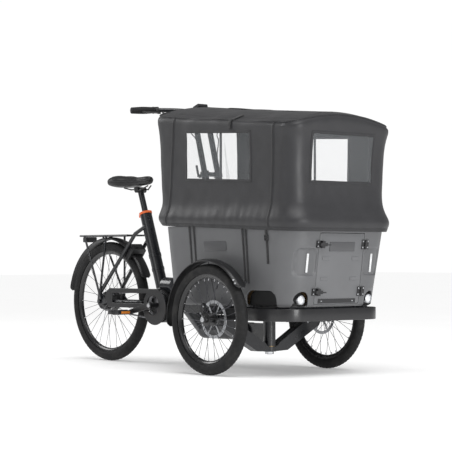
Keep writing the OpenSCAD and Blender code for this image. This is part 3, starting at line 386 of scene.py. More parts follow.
def ramp(value, low, high):
    """0 below low, 1 above high and smooth between: t t (3 - 2 t)."""
    t = np.clip((value - low) / (high - low), 0, 1)
    return t * t * (3 - 2 * t)


def box_distance(a, b, half_a, half_b, radius):
    """Signed distance to a rounded rectangle centred at 0, negative inside: outer length plus inner depth, less the
    corner's radius."""
    qa, qb = np.abs(a) - half_a + radius, np.abs(b) - half_b + radius
    return np.hypot(np.maximum(qa, 0), np.maximum(qb, 0)) + np.minimum(np.maximum(qa, qb), 0) - radius


# ---------------------------------------------------------------- putting a shape into the scene


def put(name, part, finish, body, replaces=(), sharp=35, outward=True):
    """Makes a mesh from a shape and places it on a body."""
    points, loops, counts = part
    mesh = bpy.data.meshes.new(name)
    mesh.vertices.add(len(points))
    mesh.vertices.foreach_set("co", np.asarray(points, np.float32).ravel())
    mesh.loops.add(len(loops))
    mesh.loops.foreach_set("vertex_index", np.asarray(loops, np.int32))
    mesh.polygons.add(len(counts))
    mesh.polygons.foreach_set("loop_start", np.concatenate([[0], np.cumsum(counts)[:-1]]).astype(np.int32))
    mesh.update(calc_edges=True)
    mesh.validate()
    return place(name, mesh, finish, body, replaces, sharp, outward)


def place(name, mesh, finish, body, replaces, sharp, outward):
    """Normals, material, parent and CAD nodes of a finished mesh."""
    if outward:
        work = bmesh.new()
        work.from_mesh(mesh)
        bmesh.ops.recalc_face_normals(work, faces=work.faces)
        work.to_mesh(mesh)
        work.free()
    mesh.polygons.foreach_set("use_smooth", np.ones(len(mesh.polygons), bool))
    mesh.set_sharp_from_angle(angle=math.radians(sharp))
    obj = bpy.data.objects.new(name, mesh)
    bpy.context.scene.collection.objects.link(obj)
    mesh.materials.clear()
    mesh.materials.append(FINISHES[finish])
    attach(obj, body)
    if replaces:
        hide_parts(*replaces)
    return obj


def body_of(node):
    """The body that a CAD node rides on."""
    return frame["nodes"][node]["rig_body"]


def softened(node, finish, width=None):
    """A CAD node's mesh with its doubles merged, its flats joined and its edges rounded by a bevel."""
    mesh = frame["nodes"][node].data.copy()
    work = bmesh.new()
    work.from_mesh(mesh)
    bmesh.ops.remove_doubles(work, verts=work.verts, dist=1e-5)
    bmesh.ops.dissolve_limit(work, angle_limit=math.radians(0.6), verts=work.verts, edges=work.edges)
    work.to_mesh(mesh)
    work.free()
    obj = place("soft_" + node, mesh, finish, body_of(node), (node,), 80, False)
    bevel = obj.modifiers.new("round edges", "BEVEL")
    bevel.width = width or sizes().edge_round
    bevel.segments, bevel.limit_method, bevel.angle_limit = 2, "ANGLE", math.radians(32)
    bevel.harden_normals = False
    obj.modifiers.new("face normals", "WEIGHTED_NORMAL").keep_sharp = True
    return obj


def painted(node, finish):
    """Gives a CAD node that keeps its shape a finish."""
    obj = frame["nodes"][node]
    obj.data.materials.clear()
    obj.data.materials.append(FINISHES[finish])
    return obj


def thickened(obj, thickness):
    """Gives a sheet its wall, inwards."""
    wall = obj.modifiers.new("wall", "SOLIDIFY")
    wall.thickness, wall.offset = thickness, -1.0
    return obj


# ---------------------------------------------------------------- finishes


class Recipe:
    """Builds one material's nodes on Object coordinates."""

    def __init__(self, name, rough, metallic=0.0, specular=0.5, coat=0.0, coat_rough=0.1, sheen=0.0):
        self.material = bpy.data.materials.new(name)
        self.material.use_nodes = True
        self.nodes, self.links = self.material.node_tree.nodes, self.material.node_tree.links
        self.shader = self.nodes["Principled BSDF"]
        self.where = self.nodes.new("ShaderNodeTexCoord").outputs["Object"]
        for socket, value in {"Roughness": rough, "Metallic": metallic, "Specular IOR Level": specular,
                              "Coat Weight": coat, "Coat Roughness": coat_rough, "Sheen Weight": sheen}.items():
            self.shader.inputs[socket].default_value = value

    def add(self, kind, **inputs):
        """A node with its values set and its linked inputs joined."""
        node = self.nodes.new(kind)
        for key, value in inputs.items():
            socket = node.inputs[int(key[1:])] if key[0] == "i" and key[1:].isdigit() else node.inputs[
                key.replace("_", " ")]
            if isinstance(value, bpy.types.NodeSocket):
                self.links.new(value, socket)
            else:
                socket.default_value = value
        return node

    def stretched(self, scale):
        """Object coordinates stretched by a scale on each axis."""
        return self.add("ShaderNodeMapping", Vector=self.where, Scale=scale).outputs["Vector"]

    def noise(self, scale, detail=3.0, where=None):
        """A noise texture's value."""
        return self.add("ShaderNodeTexNoise", Vector=where or self.where, Scale=scale, Detail=detail).outputs["Fac"]

    def ribs(self, scale, axis):
        """Even stripes across one axis."""
        node = self.add("ShaderNodeTexWave", Vector=self.where, Scale=scale)
        node.bands_direction = axis
        return node.outputs["Fac"]

    def maths(self, kind, a, b):
        """One arithmetic step."""
        node = self.add("ShaderNodeMath", i0=a, i1=b)
        node.operation = kind
        return node.outputs["Value"]

    def between(self, value, low, high):
        """A value's 0.3 to 0.7 mapped to low to high."""
        node = self.add("ShaderNodeMapRange", Value=value, From_Min=0.3, From_Max=0.7, To_Min=low, To_Max=high)
        return node.outputs["Result"]

    def tint(self, factor, dark, light):
        """A colour between two."""
        node = self.nodes.new("ShaderNodeMix")
        node.data_type = "RGBA"
        self.links.new(factor, node.inputs["Factor"])
        for socket, colour in ((node.inputs[6], dark), (node.inputs[7], light)):
            if isinstance(colour, bpy.types.NodeSocket):
                self.links.new(colour, socket)
            else:
                socket.default_value = (*colour, 1.0)
        return node.outputs[2]

    def colour(self, output):
        """Joins a value to the base colour."""
        self.links.new(output, self.shader.inputs["Base Color"])

    def rough(self, output):
        """Joins a value to the roughness."""
        self.links.new(output, self.shader.inputs["Roughness"])

    def bump(self, height, strength, distance):
        """Relief from a height value, on top of any relief already there."""
        node = self.add("ShaderNodeBump", Height=height, Strength=strength, Distance=distance)
        if self.shader.inputs["Normal"].is_linked:
            self.links.new(self.shader.inputs["Normal"].links[0].from_socket, node.inputs["Normal"])
        self.links.new(node.outputs["Normal"], self.shader.inputs["Normal"])


def shade(colour, share):
    """A colour made lighter or darker."""
    return tuple(min(1.0, c * share) for c in colour)


def paint(name, colour, rough=0.3, coat=0.35, peel=0.06, fleck=0.12):
    """Stoved paint: a slightly uneven colour, fine orange peel and a clear coat."""
    r = Recipe(name, rough, 0.0, 0.5, coat, 0.14)
    r.colour(r.tint(r.between(r.noise(9.0), 0, 1), shade(colour, 1 - fleck), shade(colour, 1 + fleck)))
    r.rough(r.between(r.noise(34.0), rough * 0.85, rough * 1.18))
    r.bump(r.noise(420.0, 2.0), peel, 0.0004)
    return r.material


def moulded(name, colour, rough=0.5, grain=0.12, scale=900.0, edge=1.35):
    """Moulded plastic: a fine leather-like grain, faint flow marks and a painted highlight that lightens the sharp
    edges.
    """
    r = Recipe(name, rough, 0.0, 0.45)
    # painted highlight: the colour is lightened by the edge share wherever the mesh's pointiness is high, on sharp
    # edges
    edge_sharpness = r.add("ShaderNodeNewGeometry").outputs["Pointiness"]
    edge_highlight = r.add("ShaderNodeMapRange", Value=edge_sharpness, From_Min=0.51, From_Max=0.58, To_Min=0.0, To_Max=0.6)
    flow = r.tint(r.between(r.noise(6.0), 0, 1), shade(colour, 0.93), shade(colour, 1.07))
    r.colour(r.tint(edge_highlight.outputs["Result"], flow, shade(colour, edge)))
    r.rough(r.between(r.noise(28.0), rough * 0.9, rough * 1.12))
    cells = r.add("ShaderNodeTexVoronoi", Vector=r.where, Scale=scale).outputs["Distance"]
    r.bump(cells, grain, 0.0004)
    return r.material


def metal(name, colour, rough=0.28, brushed=(1, 1, 1), strength=0.08, stain=0.12):
    """Bare metal: brush lines along the axis with the small scale and faint stains."""
    r = Recipe(name, rough, 1.0)
    lines = r.noise(240.0, 4.0, r.stretched(brushed))
    r.colour(r.tint(r.between(r.noise(22.0), 0, 1), shade(colour, 1 - stain), shade(colour, 1 + stain / 2)))
    r.rough(r.between(lines, rough * 0.75, rough * 1.35))
    r.bump(lines, strength, 0.0002)
    return r.material


def rubber(name, colour, rough=0.62, dust=(0.045, 0.043, 0.040)):
    """Rubber: matt and fine-grained, with a little road dust in broad patches."""
    r = Recipe(name, rough, 0.0, 0.35)
    patches = r.add("ShaderNodeMapRange", Value=r.noise(15.0, 5.0), From_Min=0.52, From_Max=0.78, To_Min=0.0,
                    To_Max=0.5)
    r.colour(r.tint(patches.outputs["Result"], colour, dust))
    r.rough(r.between(r.noise(50.0), rough * 0.9, rough * 1.1))
    r.bump(r.noise(700.0, 2.0), 0.15, 0.0004)
    return r.material


def woven(name, colour, pitch=0.0011, rough=0.75, depth=0.5, sheen=0.12, coat=0.0, crease=0.0):
    """Cloth: warp and weft as crossed waves, cloudy dye and, for coated cloth, a thin skin and soft creases."""
    r = Recipe(name, rough, 0.0, 0.4, coat, 0.35, sheen)
    scale = 0.31 / pitch
    threads = r.maths("ADD", r.maths("MULTIPLY", r.ribs(scale, "X"), r.ribs(scale, "Z")),
                      r.maths("MULTIPLY", r.ribs(scale, "Y"), r.ribs(scale, "Z")))
    dye = r.tint(r.between(r.noise(12.0, 5.0), 0, 1), shade(colour, 0.84), shade(colour, 1.16))
    r.colour(r.tint(threads, dye, shade(colour, 1.10)))
    r.rough(r.between(r.noise(20.0), rough * 0.88, rough * 1.1))
    if crease:
        r.bump(r.noise(16.0, 3.0, r.stretched((1, 1, 0.35))), crease, 0.012)
    r.bump(threads, depth, 0.0003)
    return r.material


def hide(name, colour):
    """Synthetic leather: pebbled grain with fine pores."""
    rough = 0.5
    r = Recipe(name, rough, 0.0, 0.45, 0.05, 0.3)
    cells = r.add("ShaderNodeTexVoronoi", Vector=r.where, Scale=420.0).outputs["Distance"]
    r.colour(r.tint(cells, shade(colour, 0.8), shade(colour, 1.3)))
    r.rough(r.between(r.noise(30.0), rough * 0.85, rough * 1.15))
    r.bump(cells, 0.3, 0.0006)
    return r.material


def film(name, colour):
    """Clear flexible film: slightly smoky, glossy and faintly wavy."""
    r = Recipe(name, 0.10, 0.0, 0.5, 0.0)
    r.shader.inputs["Alpha"].default_value = 0.13
    r.colour(r.tint(r.between(r.noise(5.0), 0, 1), shade(colour, 0.9), colour))
    r.bump(r.noise(9.0, 2.0), 0.25, 0.01)
    r.material.surface_render_method = "BLENDED"
    return r.material


def glossy(name, colour, rough=0.12, ribs=0.0):
    """Lens plastic: glossy, with fine pressed ribs inside where it has them."""
    r = Recipe(name, rough, 0.0, 0.6, 0.6, 0.04)
    r.colour(r.tint(r.between(r.noise(30.0), 0, 1), shade(colour, 0.88), shade(colour, 1.08)))
    if ribs:
        r.bump(r.maths("MULTIPLY", r.ribs(ribs, "Y"), r.ribs(ribs, "Z")), 0.5, 0.001)
    r.rough(r.between(r.noise(60.0), rough * 0.8, rough * 1.3))
    return r.material


def wood(name, colour):
    """Plywood: long grain with darker rings."""
    r = Recipe(name, 0.5, 0.0, 0.4, 0.2, 0.2)
    lines = r.noise(40.0, 6.0, r.stretched((2.5, 0.3, 2.5)))
    r.colour(r.tint(r.between(lines, 0, 1), shade(colour, 0.6), colour))
    r.bump(lines, 0.15, 0.0005)
    return r.material


FINISHES = {}


def prepare_finishes():
    """Makes every material once, from the panel's colours."""
    c = colours()
    FINISHES.update(
        paint=paint("frame paint", tuple(c.paint)),
        column=paint("column paint", (0.034, 0.035, 0.039), 0.36, 0.2),
        bumper=paint("bumper paint", (0.012, 0.012, 0.0135), 0.36, 0.25, peel=0.08),
        caliper=paint("caliper paint", (0.013, 0.013, 0.014), 0.38, 0.15),
        accent=paint("accent paint", tuple(c.accent), 0.33, 0.4, fleck=0.05),
        rim=paint("rim anodising", (0.012, 0.012, 0.013), 0.26, 0.2),
        hub=paint("hub paint", (0.015, 0.015, 0.016), 0.3, 0.25),
        # The last number of each moulded finish is its painted edge highlight: how much lighter its sharp edges are
        # made.
        box=moulded("box moulding", tuple(c.box), 0.41, 0.16, 700.0, 1.3),
        # painted light: the door is the box's own moulding made 12 % lighter, a lit copy for its brighter front face
        door=moulded("door moulding", shade(tuple(c.box), 1.12), 0.41, 0.16, 700.0, 1.3),
        fender=moulded("mudguard plastic", (0.014, 0.014, 0.015), 0.34, 0.05, 1200.0, 2.0),
        plastic=moulded("black plastic", (0.014, 0.014, 0.015), 0.46, 0.12, 900.0, 2.2),
        liner=moulded("liner plastic", (0.006, 0.006, 0.0065), 0.6, 0.12, 900.0, 1.6),
        badge=moulded("plate plastic", (0.075, 0.076, 0.080), 0.4, 0.05, 1200.0, 1.4),
        sill=metal("sill aluminium", (0.42, 0.43, 0.45), 0.34, (1, 0.06, 1)),
        tyre=rubber("tyre rubber", (0.009, 0.009, 0.0095), 0.72),
        grip=rubber("grip rubber", (0.011, 0.011, 0.012), 0.66, (0.02, 0.02, 0.02)),
        hose=rubber("hose jacket", (0.010, 0.010, 0.011), 0.42, (0.014, 0.014, 0.014)),
        steel=metal("brushed steel", (0.58, 0.59, 0.61), 0.26),
        rotor=metal("disc steel", (0.50, 0.51, 0.53), 0.30, (1, 1, 1), 0.12),
        spoke=metal("black spokes", (0.10, 0.10, 0.11), 0.32),
        nipple=metal("nipple brass", (0.66, 0.66, 0.68), 0.25),
        chain=metal("oiled chain", (0.20, 0.20, 0.21), 0.34, stain=0.3),
        bronze=metal("bronze", (0.55, 0.38, 0.16), 0.32),
        aluminium=metal("anodised tube", (0.48, 0.49, 0.51), 0.36, (1, 1, 0.1)),
        hood=woven("hood cloth", tuple(c.hood), 0.0013, 0.50, 0.10, 0.06, 0.12, 0.10),
        binding=woven("binding tape", shade(tuple(c.hood), 0.86), 0.0016, 0.6, 0.4, 0.12),
        webbing=woven("webbing", (0.014, 0.014, 0.015), 0.0022, 0.7, 0.8, 0.2),
        bench=woven("bench cloth", (0.040, 0.041, 0.045), 0.0020, 0.85, 0.7, 0.3),
        thread=woven("thread", (0.065, 0.065, 0.070), 0.0006, 0.7, 0.4),
        film=film("window film", (0.74, 0.77, 0.80)),
        saddle=hide("saddle cover", (0.013, 0.013, 0.014)),
        lens=glossy("lamp lens", (0.78, 0.79, 0.81), 0.12, 60.0),
        white=glossy("white reflector", (0.80, 0.81, 0.82), 0.2, 110.0),
        amber=glossy("amber reflector", (0.90, 0.28, 0.03), 0.18, 110.0),
        red=glossy("red lens", (0.16, 0.008, 0.008), 0.14, 80.0),
        wood=wood("birch ply", (0.42, 0.27, 0.13)),
    )

# ---------------------------------------------------------------- wheels

# Centre, radius and body of each wheel
WHEELS = {"rear": ((REAR_AXLE[0], 0.0, REAR_R), REAR_R, "rear_wheel")}
WHEELS.update({f"front_{side}": ((FRONT_X, sign * SIDE_Y, FRONT_R), FRONT_R, f"front_wheel_{side}")
               for side, sign in SIDES.items()})
SPOKES = 32
RIM_DEPTH = 0.0198
MUDGUARD_GAP, MUDGUARD_HALF, MUDGUARD_WALL = 0.022, 0.033, 0.0025


def wheel_node(kind, wheel):
    """Name of a wheel's CAD node: rear_tyre, front_tyre_left and so on."""
    return f"rear_{kind}" if wheel == "rear" else f"front_{kind}_{wheel[6:]}"


def tyre_shape(centre, radius):
    """A round section turned about the axle. Blocks rise by a clipped sine of angle and slant, and three grooves run
    round."""
    body, reach = TYRE_W / 2, math.radians(138)
    blocks, depth = sizes().tread_blocks, sizes().tread_depth
    turn = round_angles(blocks * 6)
    phi = np.linspace(-reach, reach, 49)
    slant = blocks * turn + 3.2 * np.abs(phi[:, None]) * np.sign(phi[:, None] + 1e-9)
    block = np.clip(2.6 * np.sin(slant) + 1.2, -1, 1) * 0.5 + 0.5
    groove = ramp(np.abs(np.abs(phi) - 0.30), 0.03, 0.09) * ramp(np.abs(phi), 0.02, 0.06)
    on_tread = 1 - ramp(np.abs(phi), 0.78, 0.95)
    rings = (0.00045 * np.exp(-((np.abs(phi) - 1.45) / 0.03) ** 2)
             + 0.0004 * np.exp(-((np.abs(phi) - 1.95) / 0.04) ** 2))
    relief = -depth * (1 - block * groove[:, None]) * on_tread[:, None] + rings[:, None]
    r_out = radius - body + (body + relief) * np.cos(phi)[:, None]
    y_out = np.broadcast_to((body + relief) * np.sin(phi)[:, None], r_out.shape)
    back, inside = np.linspace(reach, -reach, 17)[:, None], body - 0.0035
    r_in = np.broadcast_to(radius - body + inside * np.cos(back), (17, len(turn)))
    y_in = np.broadcast_to(inside * np.sin(back), (17, len(turn)))
    r, y = np.vstack([r_out, r_in]), np.vstack([y_out, y_in])
    points = np.stack([r * np.cos(turn), y, r * np.sin(turn)], axis=-1) + centre
    return grid(points, close=True)


def rim_shape(centre, radius):
    """A box-section rim: two low side walls, a rounded inner face and a shallow well."""
    r = radius - RIM_R_IN
    line = [(r + 0.0005, -0.0132), (r + 0.0005, -0.0150), (r - 0.004, -0.0150), (r - 0.009, -0.0136),
            (r - 0.015, -0.0095), (r - 0.0190, -0.0055), (r - RIM_DEPTH, -0.0030)]
    profile = line + [(a, -b) for a, b in line[::-1]] + [(r - 0.004, 0.010), (r - 0.004, -0.010)]
    return lathe(profile, centre, sides=160, closed=True)


def nipple_shape(centre, radius):
    """A short capsule at the rim end of each spoke, in two rows either side of the wheel's middle plane."""
    r = radius - RIM_R_IN - RIM_DEPTH
    line = np.array([(0.0008, 0.0), (0.0021, 0.0008), (0.0021, 0.0100), (0.0012, 0.0118)])
    one = lathe(line * [1, -1] + [0, r], (0, 0, 0), (1, 0, 0), 8)
    rows = [moved(spun(one, SPOKES // 2, (0, 0, 0), (0, 1, 0), start), by=np.array(centre) + [0, y, 0])
            for start, y in ((0.0, -0.0032), (2 * math.pi / SPOKES, 0.0032))]
    return join(*rows)


class BICYCLE_OT_wheels(bpy.types.Operator):
    """Tyres with tread, rims, nipples, hub caps and disc bolts"""

    bl_idname = "bicycle.wheels"
    bl_label = "Wheels"

    def execute(self, context):
        for wheel, (centre, radius, body) in WHEELS.items():
            put(f"{wheel}_tyre_tread", tyre_shape(centre, radius), "tyre", body, (wheel_node("tyre", wheel),), sharp=50)
            put(f"{wheel}_rim_shell", rim_shape(centre, radius), "rim", body, (wheel_node("rim", wheel),), sharp=28)
            put(f"{wheel}_nipples", nipple_shape(centre, radius), "nipple", body)
            stem, cap = (rod(centre + np.array([0, 0, radius - outer]), centre + np.array([0, 0, radius - inner]), r)
                         for outer, inner, r in ((0.068, 0.098, 0.0034), (0.092, 0.108, 0.0042)))
            put(f"{wheel}_valve", spun(join(stem, cap), 1, centre, start=0.35), "plastic", body)
            painted(wheel_node("spokes", wheel), "spoke")
            painted(wheel_node("hub", wheel), "hub")
            if wheel != "rear":
                sign = math.copysign(1, centre[1])
                inner = centre[1] - sign * 0.0293
                painted(wheel_node("rotor", wheel), "rotor")
                bolt = lathe([(0.0012, 0), (0.0036, 0.0), (0.0040, 0.0007), (0.0034, 0.0022), (0.0012, 0.0026)],
                             (centre[0] + 0.022, inner - sign * 0.001, centre[2]), (0, -sign, 0), 12)
                put(f"{wheel}_disc_bolts", spun(bolt, 6, centre), "steel", body)
                cap = lathe([(0.0077, 0.036), (0.0165, 0.0361), (0.0172, 0.0372), (0.0150, 0.0388), (0.0138, 0.0392),
                             (0.0138, 0.0382), (0.0077, 0.0382)], centre, (0, sign, 0), 48, closed=True)
                put(f"{wheel}_hub_cap", cap, "caliper", body)
        return {"FINISHED"}


def mudguard(centre, wheel_radius, start, end, steps=120):
    """A crowned strip turned about the axle: its height falls with the fourth power across, and its ends are
    rounded."""
    radius, half, wall = wheel_radius + MUDGUARD_GAP, MUDGUARD_HALF, MUDGUARD_WALL
    angle = np.radians(np.linspace(start, end, steps))
    along = (angle - angle[0]) * radius
    left = np.minimum(along, along[-1] - along)
    taper = np.sqrt(np.clip(1 - (1 - np.clip(left / 0.022, 0, 1)) ** 2, 0.16, 1))
    across = np.sin(np.linspace(-1, 1, 21) * math.pi / 2)
    drop = 0.0085 * np.abs(across) ** 4 + 0.0012 * across ** 2
    outer = np.stack([np.broadcast_to(across * half, (steps, 21)), radius + wall - drop * np.ones((steps, 1))], -1)
    inner = outer[:, ::-1] * [0.955, 1] - [0, wall * 0.8]
    ring = np.concatenate([outer, inner], axis=1)
    ring[..., 0] *= taper[:, None]
    r = ring[..., 1]
    points = np.stack([r * np.cos(angle)[:, None], ring[..., 0], r * np.sin(angle)[:, None]], -1) + centre
    return capped(points)


def screw_head(centre, axis, radius=0.004, height=0.0025):
    """A domed screw head with a shallow hexagon socket."""
    dome = [(radius * 0.45, height * 0.35), (radius * 0.47, height * 0.98), (radius * 0.8, height),
            (radius, height * 0.5), (radius, 0.0)]
    return lathe(dome, centre, axis, 12)


class BICYCLE_OT_mudguards(bpy.types.Operator):
    """Crowned mudguards with their stays and bolts"""

    bl_idname = "bicycle.mudguards"
    bl_label = "Mudguards"

    def execute(self, context):
        put("rear_mudguard", mudguard(REAR_AXLE, REAR_R, 22, 171, 150), "fender", "rear_frame", ("rear_fender",))
        strips, wires, fixings = [], [], []
        for sign in (-1, 1):
            hub = np.array([FRONT_X, sign * SIDE_Y, FRONT_R])
            strips.append(mudguard(hub, FRONT_R, 33, 188))
            inner, foot_y = hub[1] - sign * 0.036, hub[1] - sign * 0.059
            for a in (40.0, 100.0):
                turn, r = math.radians(a), FRONT_R + MUDGUARD_GAP - 0.006
                tip = np.array([FRONT_X + r * math.cos(turn), inner, FRONT_R + r * math.sin(turn)])
                foot = np.array([FRONT_X + 0.018 * math.cos(turn), foot_y, FRONT_R + 0.004 + 0.018 * math.sin(turn)])
                wires.append(rod(tip, foot, 0.0025, 10))
                fixings.append(screw_head(tip - [0, sign * 0.0015, 0], (0, -sign, 0)))
            for a in (38.0, 42.0):
                turn, r = math.radians(a), FRONT_R + MUDGUARD_GAP - 0.0035
                fixings.append(screw_head(hub + [r * math.cos(turn), sign * 0.0318, r * math.sin(turn)], (0, sign, 0),
                                          0.0045))
        put("front_mudguards", join(*strips, *wires), "fender", "front_carrier",
            ("front_fenders",))
        put("mudguard_bolts", join(*fixings), "steel", "front_carrier")
        return {"FINISHED"}


# ---------------------------------------------------------------- moulded box


def corner_ahead(share, front, half, radius, y_start, x_end):
    """From (front, y_start) round the front corner to (x_end, half) by equal path lengths."""
    first, arc, last = half - radius - y_start, radius * math.pi / 2, front - radius - x_end
    d = share * (first + arc + last)
    a = np.clip((d - first) / radius, 0, math.pi / 2)
    return (front - radius + radius * np.cos(a) - np.maximum(d - first - arc, 0),
            half - radius + radius * np.sin(a) - np.maximum(first - d, 0))


def corner_behind(share, back, half, radius, x_start, y_end):
    """From (x_start, half) round the rear corner to (back, y_end) by equal path lengths."""
    first, arc, last = x_start - back - radius, radius * math.pi / 2, half - radius - y_end
    d = share * (first + arc + last)
    a = np.clip((d - first) / radius, 0, math.pi / 2)
    return (back + radius - radius * np.sin(a) + np.maximum(first - d, 0),
            half - radius + radius * np.cos(a) - np.maximum(d - first - arc, 0))


def half_loop(back, front, half, radius, stops, counts, rear_line):
    """The left half of a rounded rectangle from the front's middle to the rear's, as five runs of columns: across to
    the first stop's y, round to the second's x, along to the third's x, round to the fourth's y and along the rear."""
    y_front, x_front, x_rear, y_rear = stops
    shares = [np.arange(c) / c for c in counts]
    shares[4] = np.append(shares[4], 1.0)
    edges = np.cumsum([0] + [len(s) for s in shares])
    wide = (len(back), edges[-1])
    back, front, half, radius = (np.broadcast_to(v, wide) for v in (back, front, half, radius))
    cut = [[v[:, edges[i]:edges[i + 1]] for v in (back, front, half, radius)] for i in range(5)]
    line = rear_line(shares[4])
    runs = [(cut[0][1], y_front * shares[0] + 0 * cut[0][1]),
            corner_ahead(shares[1], *cut[1][1:], y_front, x_front),
            (x_front + (x_rear - x_front) * shares[2] + 0 * cut[2][1], cut[2][2]),
            corner_behind(shares[3], cut[3][0], *cut[3][2:], x_rear, y_rear),
            (cut[4][0] + line[0], line[1] + 0 * cut[4][0])]
    return np.concatenate([r[0] for r in runs], axis=1), np.concatenate([r[1] for r in runs], axis=1)


def whole_loop(left):
    """Mirrors the left half's columns and leaves out the two shared ones."""
    right = left[:, -2:0:-1] * [1, -1, 1]
    return np.concatenate([left, right], axis=1)


def recess_line(share):
    """The rear wall's line from y 0.19 into the column's recess, as offsets ahead of the wall and y."""
    depth, half = CHANNEL_X - 0.006 - FLOOR_BACK, 0.0775
    knots = [(0, 0.190), (0, 0.130), (0.001, 0.098), (0.012, half + 0.004), (0.050, half), (depth - 0.030, half),
             (depth - 0.006, half - 0.010), (depth, half - 0.034), (depth, 0.020), (depth, 0.0)]
    curve = spline(knots, 12)
    length = lengths(curve)
    return tuple(followed(share * length[-1], length, curve).T)


DOOR_HALF, DOOR_LOW, DOOR_HIGH = 0.143, BOX_Z + 0.013, BOX_Z + 0.338
DOOR_MID = (DOOR_LOW + DOOR_HIGH) / 2
HINGE_Y, HINGE_Z = 0.150, (0.392, 0.610)
LAMP = np.array([0.217, 0.356])
LAMP_HALF = 0.037
FLOOR_ROUND = 0.016
POCKET = {"y": 0.212, "z": 0.528, "half_y": 0.059, "half_z": 0.062, "round": 0.026, "depth": 0.0075}
ARCH_X, ARCH_HALF, ARCH_TOP = FRONT_X + 0.272, 0.100, BOX_Z + 0.076


def box_openings(points):
    """Signed distances, negative inside, to the door's opening, the lamp bays and the side arches."""
    x, y, z = np.moveaxis(points, -1, 0)
    ahead, beside = x > FLOOR_FRONT - 0.05, np.abs(y) > FLOOR_HALF - 0.06
    door = box_distance(y, z - DOOR_MID, DOOR_HALF + 0.0025, (DOOR_HIGH - DOOR_LOW) / 2 + 0.0025, 0.012)
    bay = np.minimum(np.hypot(np.abs(y) - LAMP[0], z - LAMP[1]) - LAMP_HALF,
                     np.maximum(np.abs(np.abs(y) - LAMP[0]) - LAMP_HALF, z - LAMP[1]))
    arch = box_distance(x - ARCH_X, z - (ARCH_TOP + BOX_Z - 0.08) / 2, ARCH_HALF, (ARCH_TOP - BOX_Z + 0.08) / 2, 0.044)
    front = np.where(ahead, np.minimum(door, bay), 1.0)
    return np.minimum(front, np.where(beside & (x < ARCH_X + 0.103), arch, 1.0))


def box_surface():
    """The box: rounded rectangles that widen upwards, a rounded floor edge, a pocket by each front corner and openings
    whose edges are reached by shifting the nearest points onto them along the surface."""
    cell = sizes().box_cell
    up = np.arange(0, 1, cell / (RIM_Z - BOX_Z - FLOOR_ROUND))
    z = np.concatenate([BOX_Z + FLOOR_ROUND + up * (RIM_Z - BOX_Z - FLOOR_ROUND), [RIM_Z]])
    bend = np.linspace(0, math.pi / 2, 6)[:-1]
    inset = np.concatenate([FLOOR_ROUND * (1 - np.sin(bend)), np.zeros(len(z))])
    z = np.concatenate([BOX_Z + FLOOR_ROUND * (1 - np.cos(bend)), z])[:, None]
    inset = inset[:, None]
    t = (z - BOX_Z) / (RIM_Z - BOX_Z)
    back = FLOOR_BACK + (BOX_LOW[0] - FLOOR_BACK) * t + inset
    front = FLOOR_FRONT + (BOX_HIGH[0] - FLOOR_FRONT) * t - inset
    half = FLOOR_HALF + (RIM_HALF - FLOOR_HALF) * t - inset
    counts = [int(c / cell) for c in (0.150, 0.400, 0.480, 0.300, 0.330)]
    x, y = half_loop(back, front, half, 0.115 - inset, (0.150, FRONT_X + 0.240, FRONT_X - 0.240, 0.190), counts,
                     recess_line)
    left = np.stack([x, y, np.broadcast_to(z, x.shape)], axis=-1)
    walls = whole_loop(left)
    around = walls.shape[1]
    middle = walls[:1].mean(axis=1, keepdims=True)
    shares = np.array([0.02, 0.25, 0.5, 0.75, 0.93])[:, None, None]
    floor = middle + (walls[:1] - middle) * shares
    floor[..., 2] = BOX_Z
    points = np.concatenate([floor, walls])
    out = surface_normals(points)
    ahead = points[..., 0] > FRONT_X + 0.30
    pocket = box_distance(np.abs(points[..., 1]) - POCKET["y"], points[..., 2] - POCKET["z"], POCKET["half_y"],
                          POCKET["half_z"], POCKET["round"])
    depth = POCKET["depth"] * (1 - ramp(pocket, -0.004, 0.003)) * ahead
    points = points - out * depth[..., None]
    gap = box_openings(points)
    eps = 1e-4
    slope = np.stack([(box_openings(points + step) - gap) / eps for step in np.eye(3) * eps], axis=-1)
    slope -= (slope * out).sum(-1, keepdims=True) * out
    norm = np.linalg.norm(slope, axis=-1, keepdims=True)
    close = (np.abs(gap) < 0.62 * cell)[..., None] & (norm > 0.4)
    points = np.where(close, points - gap[..., None] * slope / np.maximum(norm, 0.4) ** 2, points)
    inside = (gap < -1e-9).reshape(-1)
    solid = ~(inside & ~close.reshape(-1))
    base, loops, _ = grid(points)
    faces = loops.reshape(-1, 4)
    faces = faces[solid[faces].all(axis=1)]
    centres = base[faces].mean(axis=1)
    faces = faces[box_openings(centres) > 0]
    used = np.unique(faces)
    index = np.full(len(base), -1)
    index[used] = np.arange(len(used))
    loops = np.concatenate([index[faces].reshape(-1), index[np.arange(around)[::-1]]])
    return base[used], loops, np.append(np.full(len(faces), 4), around)


def face_turn():
    """Turns local (across, up, out) onto the leaning front face: across is y, up the face, out its normal."""
    c, s = math.cos(FACE_LEAN), math.sin(FACE_LEAN)
    return np.array([[0, s, c], [1, 0, 0], [0, c, -s]])


def on_face(y, z, out=0.0):
    """A point on the front face at a side offset and height, standing off by out."""
    x = FLOOR_FRONT + (BOX_HIGH[0] - FLOOR_FRONT) * (z - BOX_Z) / (RIM_Z - BOX_Z)
    return np.array([x + out * math.cos(FACE_LEAN), y, z - out * math.sin(FACE_LEAN)])


def side_wall(x, z, out=0.0, sign=-1.0):
    """A point on the box's side wall."""
    lean = (RIM_HALF - FLOOR_HALF) / (RIM_Z - BOX_Z)
    return np.array([x, sign * (FLOOR_HALF + lean * (z - BOX_Z) + out), z])


def side_turn(sign):
    """Turns local (along x, up, out) onto a side wall."""
    a = math.atan((RIM_HALF - FLOOR_HALF) / (RIM_Z - BOX_Z))
    return np.array([[1, 0, 0], [0, sign * math.sin(a), sign * math.cos(a)], [0, math.cos(a), -math.sin(a)]])


